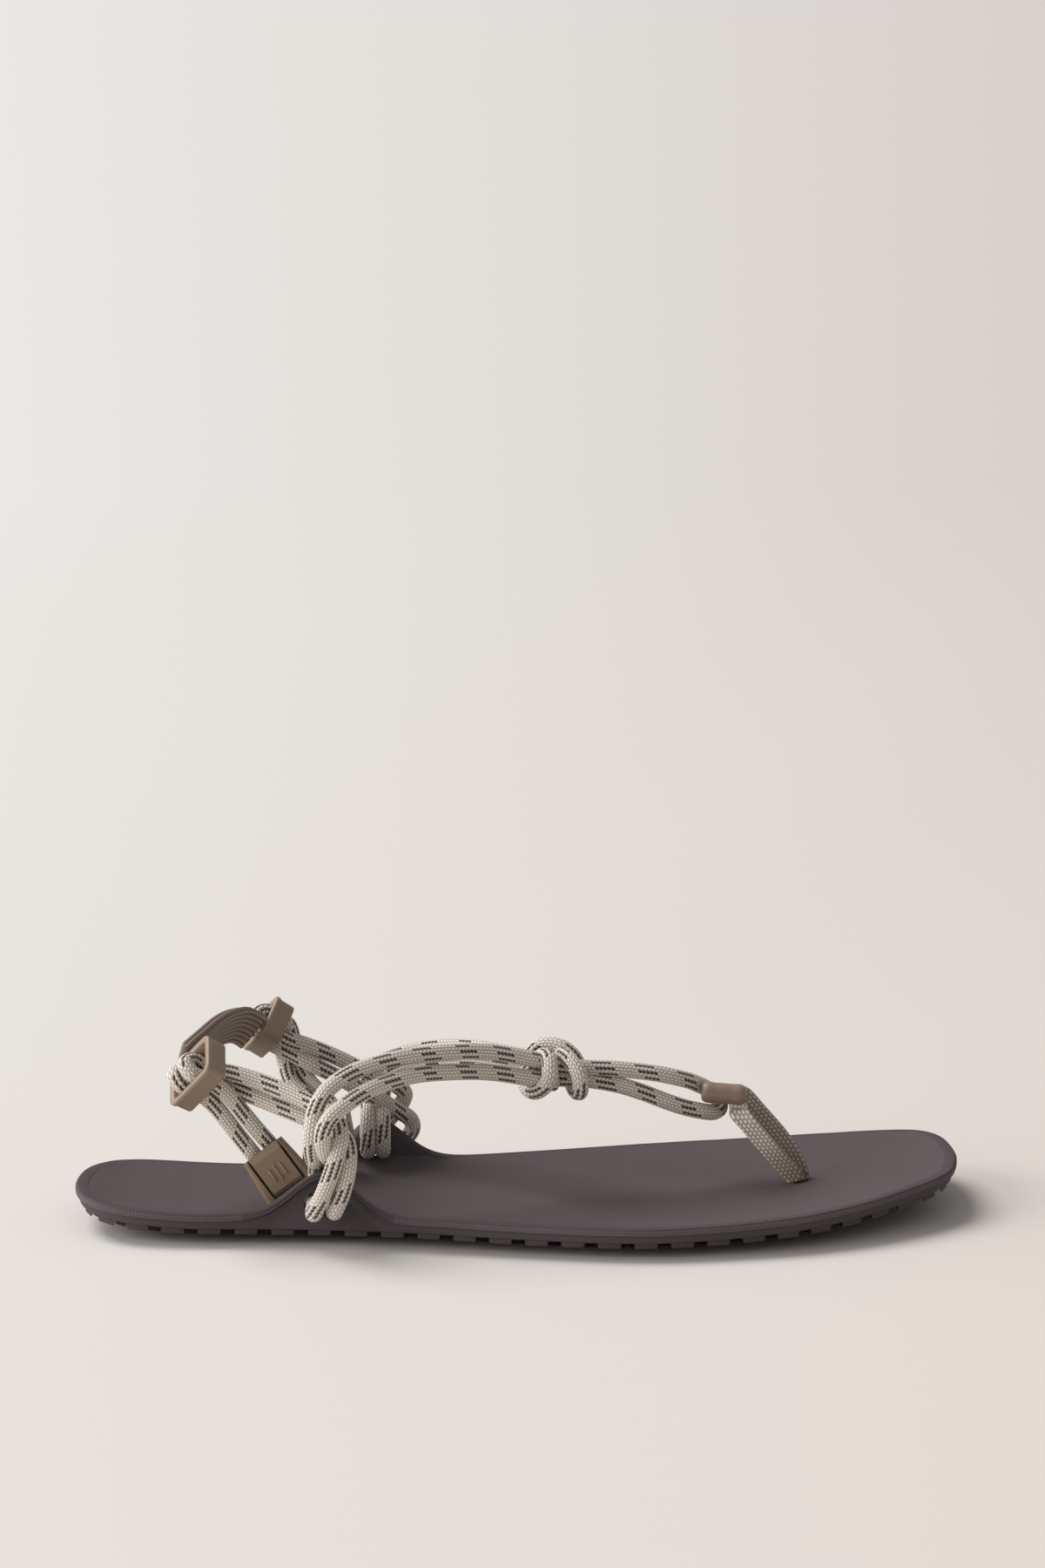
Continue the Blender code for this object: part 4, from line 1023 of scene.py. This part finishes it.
# %% Band routes
STRAP_ROUTE = (
    # x, y, z, outer normal
    (-96.5, -11.6, 46.5, -0.82, 0.37, 0.43), (-95.3, -9.1, 47.5, -0.82, 0.37, 0.43),
    (-91.4, -3.2, 49.8, -0.82, 0.37, 0.43), (-88.0, 2.3, 51.7, -0.81, 0.38, 0.44),
    (-85.0, 7.5, 52.4, -0.77, 0.45, 0.45), (-81.8, 12.7, 52.1, -0.69, 0.58, 0.44),
    (-79.3, 15.6, 50.6, -0.61, 0.69, 0.39), (-77.4, 17.4, 48.8, -0.55, 0.76, 0.34),
)
TAB_ROWS = slice(1, 6)                    # rows of the strap that carry the tab
WEB_ROUTE = (
    # x, y, z, face normal: near leg up, under and behind the bead, far leg down
    (81.0, 6.0, 6.6, 0.0, -1.0, 0.0), (80.2, 6.0, 8.4, -0.1, -1.0, -0.1),
    (75.6, 6.2, 13.4, -0.2, -0.95, -0.2), (70.6, 6.4, 19.2, -0.2, -0.95, -0.2),
    (66.6, 6.8, 24.0, -0.2, -0.93, -0.1), (64.4, 8.4, 26.2, -0.1, -0.75, 0.6),
    (64.5, 11.4, 26.2, 0.0, -0.4, 0.9), (64.4, 14.2, 27.6, 0.0, -0.8, 0.55),
    (64.8, 15.0, 29.8, 0.0, -1.0, 0.1), (66.2, 14.6, 29.6, 0.0, -1.0, 0.1),
    (69.9, 13.6, 25.6, 0.1, -1.0, 0.1), (75.9, 11.6, 19.0, 0.1, -1.0, 0.1),
    (79.8, 10.0, 13.5, 0.1, -1.0, 0.1), (82.0, 8.9, 8.6, 0.0, -1.0, 0.0),
    (82.2, 8.8, 6.6, 0.0, -1.0, 0.0),
)

# %% Bands
STRAP_WIDE, STRAP_THICK, STRAP_RELIEF = 12.0, 2.0, 0.15
TAB_WIDE, TAB_THICK, TAB_LIFT = 9.0, 1.3, 0.6
WEB_WIDE, WEB_THICK, WEB_RELIEF = 5.4, 2.0, 0.12
BAND_STEP, BAND_FILL = 0.4, 0.35          # mm between rings of points, and between points across a face
BAND_ROUND, ROUND_SHARE = 0.6, 0.45       # radius of the edges, at most this share of the thickness
FACE_EDGE = 0.05                          # points this close to a face carry its threads


def band(name, route, wide, thick, lift, mat, relief=0.0, column_mm=1.0, pitch_mm=1.0):
    """Strip along a route with rounded edges; relief raises its threads."""
    rows = curve(route)
    line = evenly(rows[:, :3], int(lengths(rows[:, :3])[-1] / BAND_STEP))
    along = lengths(line)
    run = lengths(rows[:, :3])
    normal = np.column_stack([np.interp(along, run, rows[:, c]) for c in (3, 4, 5)])
    t = unit(np.gradient(line, axis=0))
    n = unit(normal - t * np.sum(normal * t, 1, keepdims=True))
    side = np.cross(t, n)
    flat = rounded_rectangle(wide, thick, min(BAND_ROUND, thick * ROUND_SHARE), 4)
    fill = []
    for a, b in zip(flat, np.roll(flat, -1, 0)):
        parts = max(1, int(np.linalg.norm(b - a) / BAND_FILL))
        fill.extend(a + (b - a) * k / parts for k in range(parts))
    flat = np.array(fill)
    across = flat[:, 0] + wide / 2
    share = (across / column_mm) % 1
    lean = np.where((across // column_mm) % 2 == 1, 1.0, -1.0)
    threads = along[:, None] / pitch_mm + (lean * share)[None, :]
    bumps = relief * np.sin(np.pi * share)[None, :] * np.abs(np.sin(np.pi * (threads % 1)))
    out = flat[:, 1] + thick / 2
    face = np.sign(flat[:, 1]) * (np.abs(flat[:, 1]) > thick / 2 - FACE_EDGE)
    points = (line[:, None] + side[:, None] * flat[None, :, :1]
              + n[:, None] * (lift + out[None, :] + bumps * face[None, :])[..., None])
    wrapped = np.append(across, across[0])
    uv = np.stack(np.broadcast_arrays(along[:, None], wrapped[None, :]), -1)
    return tube_mesh(name, points, uv, mat)


strap = band("woven_heel_strap", STRAP_ROUTE, STRAP_WIDE, STRAP_THICK, -STRAP_THICK, HEEL_WEAVE,
             STRAP_RELIEF, STRAP_COLUMN, STRAP_PITCH)
tab = band("heel_tab_strip", STRAP_ROUTE[TAB_ROWS], TAB_WIDE, TAB_THICK, TAB_LIFT, TAB_PLASTIC)
web = band("woven_toe_loop", WEB_ROUTE, WEB_WIDE, WEB_THICK, -WEB_THICK / 2, TOE_WEAVE,
           WEB_RELIEF, TAPE_COLUMN, TAPE_PITCH)
belongs(strap, "heel_weave", "heel_strap")
belongs(tab, "brown_plastic", "heel_tab")
belongs(web, "woven_tape", "toe_webbing")

# %% [markdown]
# ## Toe bead
# A small plastic bead holds the cord's bight to the toe loop. It is a rounded barrel, a little thicker near
# each end. A scaled box with a bevel would be straight, so the bead is a skin over rounded rectangles.

# %% Bead
BEAD_AT, BEAD_SIZE = (59.9, 9.2, 31.9), (12.8, 6.4, 6.0)
BEAD_TILT, BEAD_ROUND = 5.0, 2.6          # degrees down to the toe, and the radius of its long edges
BEAD_SECTION = (
    # place along the bead, size there
    (-0.5, 0.62), (-0.485, 0.76), (-0.45, 0.88), (-0.4, 0.96), (-0.34, 1.0), (-0.27, 0.98), (-0.21, 0.95),
    (-0.12, 0.96), (0.0, 0.97), (0.12, 0.96), (0.21, 0.95), (0.27, 0.98), (0.34, 1.0), (0.4, 0.96),
    (0.45, 0.88), (0.485, 0.76), (0.5, 0.62),
)


def toe_bead():
    """The bead as a skin over rounded rectangles."""
    tilt = math.radians(-BEAD_TILT)
    a = np.array((math.cos(tilt), 0.0, math.sin(tilt)))
    t = np.array((-math.sin(tilt), 0.0, math.cos(tilt)))
    w = np.array((0.0, 1.0, 0.0))
    long, wide, tall = BEAD_SIZE
    rings = []
    for shift, scale in BEAD_SECTION:
        flat = rounded_rectangle(wide * scale, tall * scale, BEAD_ROUND * scale)
        rings.append(np.array(BEAD_AT) + a * shift * long + flat[:, :1] * w + flat[:, 1:] * t)
    bm = bmesh.new()
    loops(bm, rings)
    return put("barrel_bead", bm, BEAD_PLASTIC, PLASTIC_EDGE)


belongs(toe_bead(), "brown_plastic", "toe_bead")

# %% [markdown]
# ## Stage, light and camera
# The sandal stands on plain pale paper, whose light is painted into its colour: brighter at the left, greyer
# to the right and to the back. The key is a large soft light, high behind it on the left, so the near side of
# the sole falls into shade and a soft shadow runs out past the toe. A low fill from the left models the heel
# and the cords, and a bright surround lifts the rest. The camera is a long lens, a little above the sandal.

# %% Stage
# painted light: these paper tones stand in for light that is brighter at the left and falls off to the right
# and to the back
PAPER_PAINTED_NEAR = ("e6e0da", "e1d8d1")         # left and right edge of the picture, in front
PAPER_PAINTED_FAR = ("e9e7e3", "d6cfcb")          # the same, far behind
VIEW_HALF = 0.0843                        # half of the picture's width per metre from the camera
NEAREST = 1.2                             # metres from the camera where the paper's tone stops widening
FAR_FROM, FAR_OVER = 1.6, 1.6             # metres from the camera where the far tone starts, and takes over
CAMERA_AT = (0.001114, -1.74377, 0.46887)


def paper():
    """Matt paper with painted light, a little greyer to the right and to the back, worked out from the place
    on the floor.
    """
    mat, tree, shader = material("matt background paper, painted light falloff", PAPER_PAINTED_NEAR[0], 0.9, 1.45)
    shader["Specular IOR Level"].default_value = 0.1
    spot = add(tree, "SeparateXYZ", None, {0: add(tree, "TexCoord", out=3)}).node
    away = add(tree, "Math", {"operation": "SUBTRACT"}, {0: spot.outputs[1], 1: CAMERA_AT[1]})
    away = add(tree, "Math", {"operation": "MAXIMUM"}, {0: away, 1: NEAREST})
    reach = add(tree, "Math", {"operation": "MULTIPLY"}, {0: away, 1: 2 * VIEW_HALF})
    share = add(tree, "Math", {"operation": "DIVIDE"}, {0: spot.outputs[0], 1: reach})
    share = add(tree, "Math", {"operation": "ADD", "use_clamp": True}, {0: share, 1: 0.5})
    back = add(tree, "Math", {"operation": "SUBTRACT"}, {0: away, 1: FAR_FROM})
    back = add(tree, "Math", {"operation": "DIVIDE", "use_clamp": True}, {0: back, 1: FAR_OVER})
    # painted light falloff across and along the paper
    tones = []
    for left, right in (PAPER_PAINTED_NEAR, PAPER_PAINTED_FAR):
        ends = {0: share, 6: linear(left), 7: linear(right)}
        tones.append(add(tree, "Mix", {"data_type": "RGBA"}, ends, out=2))
    tone = add(tree, "Mix", {"data_type": "RGBA"}, {0: back, 6: tones[0], 7: tones[1]}, out=2)
    tree.links.new(tone, shader["Base Color"])
    return mat


FLOOR_SIZE = 16.0
mesh = bpy.data.meshes.new("paper_floor")
half = FLOOR_SIZE / 2
corners = [(-half, -half, 0), (half, -half, 0), (half, half, 0), (-half, half, 0)]
mesh.from_pydata(corners, [], [(0, 1, 2, 3)])
mesh.materials.append(paper())
floor = bpy.data.objects.new("paper_floor", mesh)
bpy.context.scene.collection.objects.link(floor)

# %% Lights
LIGHTS = (
    # name, where it comes from, spread in degrees, strength
    ("key", (-1.0, 0.65, 1.5), 36.0, 2.05),
    ("left fill", (-2.0, -0.4, 0.3), 60.0, 3.2),
)
SURROUND = 0.31


def sun_light(name, source, spread, strength):
    """A distant soft white light from the direction of source; a wide spread softens its shadows."""
    lamp = bpy.data.lights.new(name, "SUN")
    lamp.angle = math.radians(spread)
    lamp.energy = strength
    obj = bpy.data.objects.new(name, lamp)
    obj.rotation_euler = Vector(source).to_track_quat("Z", "Y").to_euler()
    bpy.context.scene.collection.objects.link(obj)
    print("light:", name)


for light in LIGHTS:
    sun_light(*light)
world = bpy.data.worlds.new("bright studio")
world.use_nodes = True
surround = world.node_tree.nodes["Background"].inputs
surround["Color"].default_value = linear("ffffff")
surround["Strength"].default_value = SURROUND
bpy.context.scene.world = world

# %% Camera
CAMERA_DOWN = 11.085                      # degrees below level
lens = bpy.data.cameras.new("camera")
lens.lens = 142.3
lens.sensor_width = 36.0
camera = bpy.data.objects.new("camera", lens)
camera.location = CAMERA_AT
camera.rotation_euler = (math.radians(90 - CAMERA_DOWN), 0.0, 0.0)
bpy.context.scene.collection.objects.link(camera)
bpy.context.scene.camera = camera
bpy.context.scene.view_settings.view_transform = "Standard"
print("camera:", round(lens.lens, 1), "mm lens")
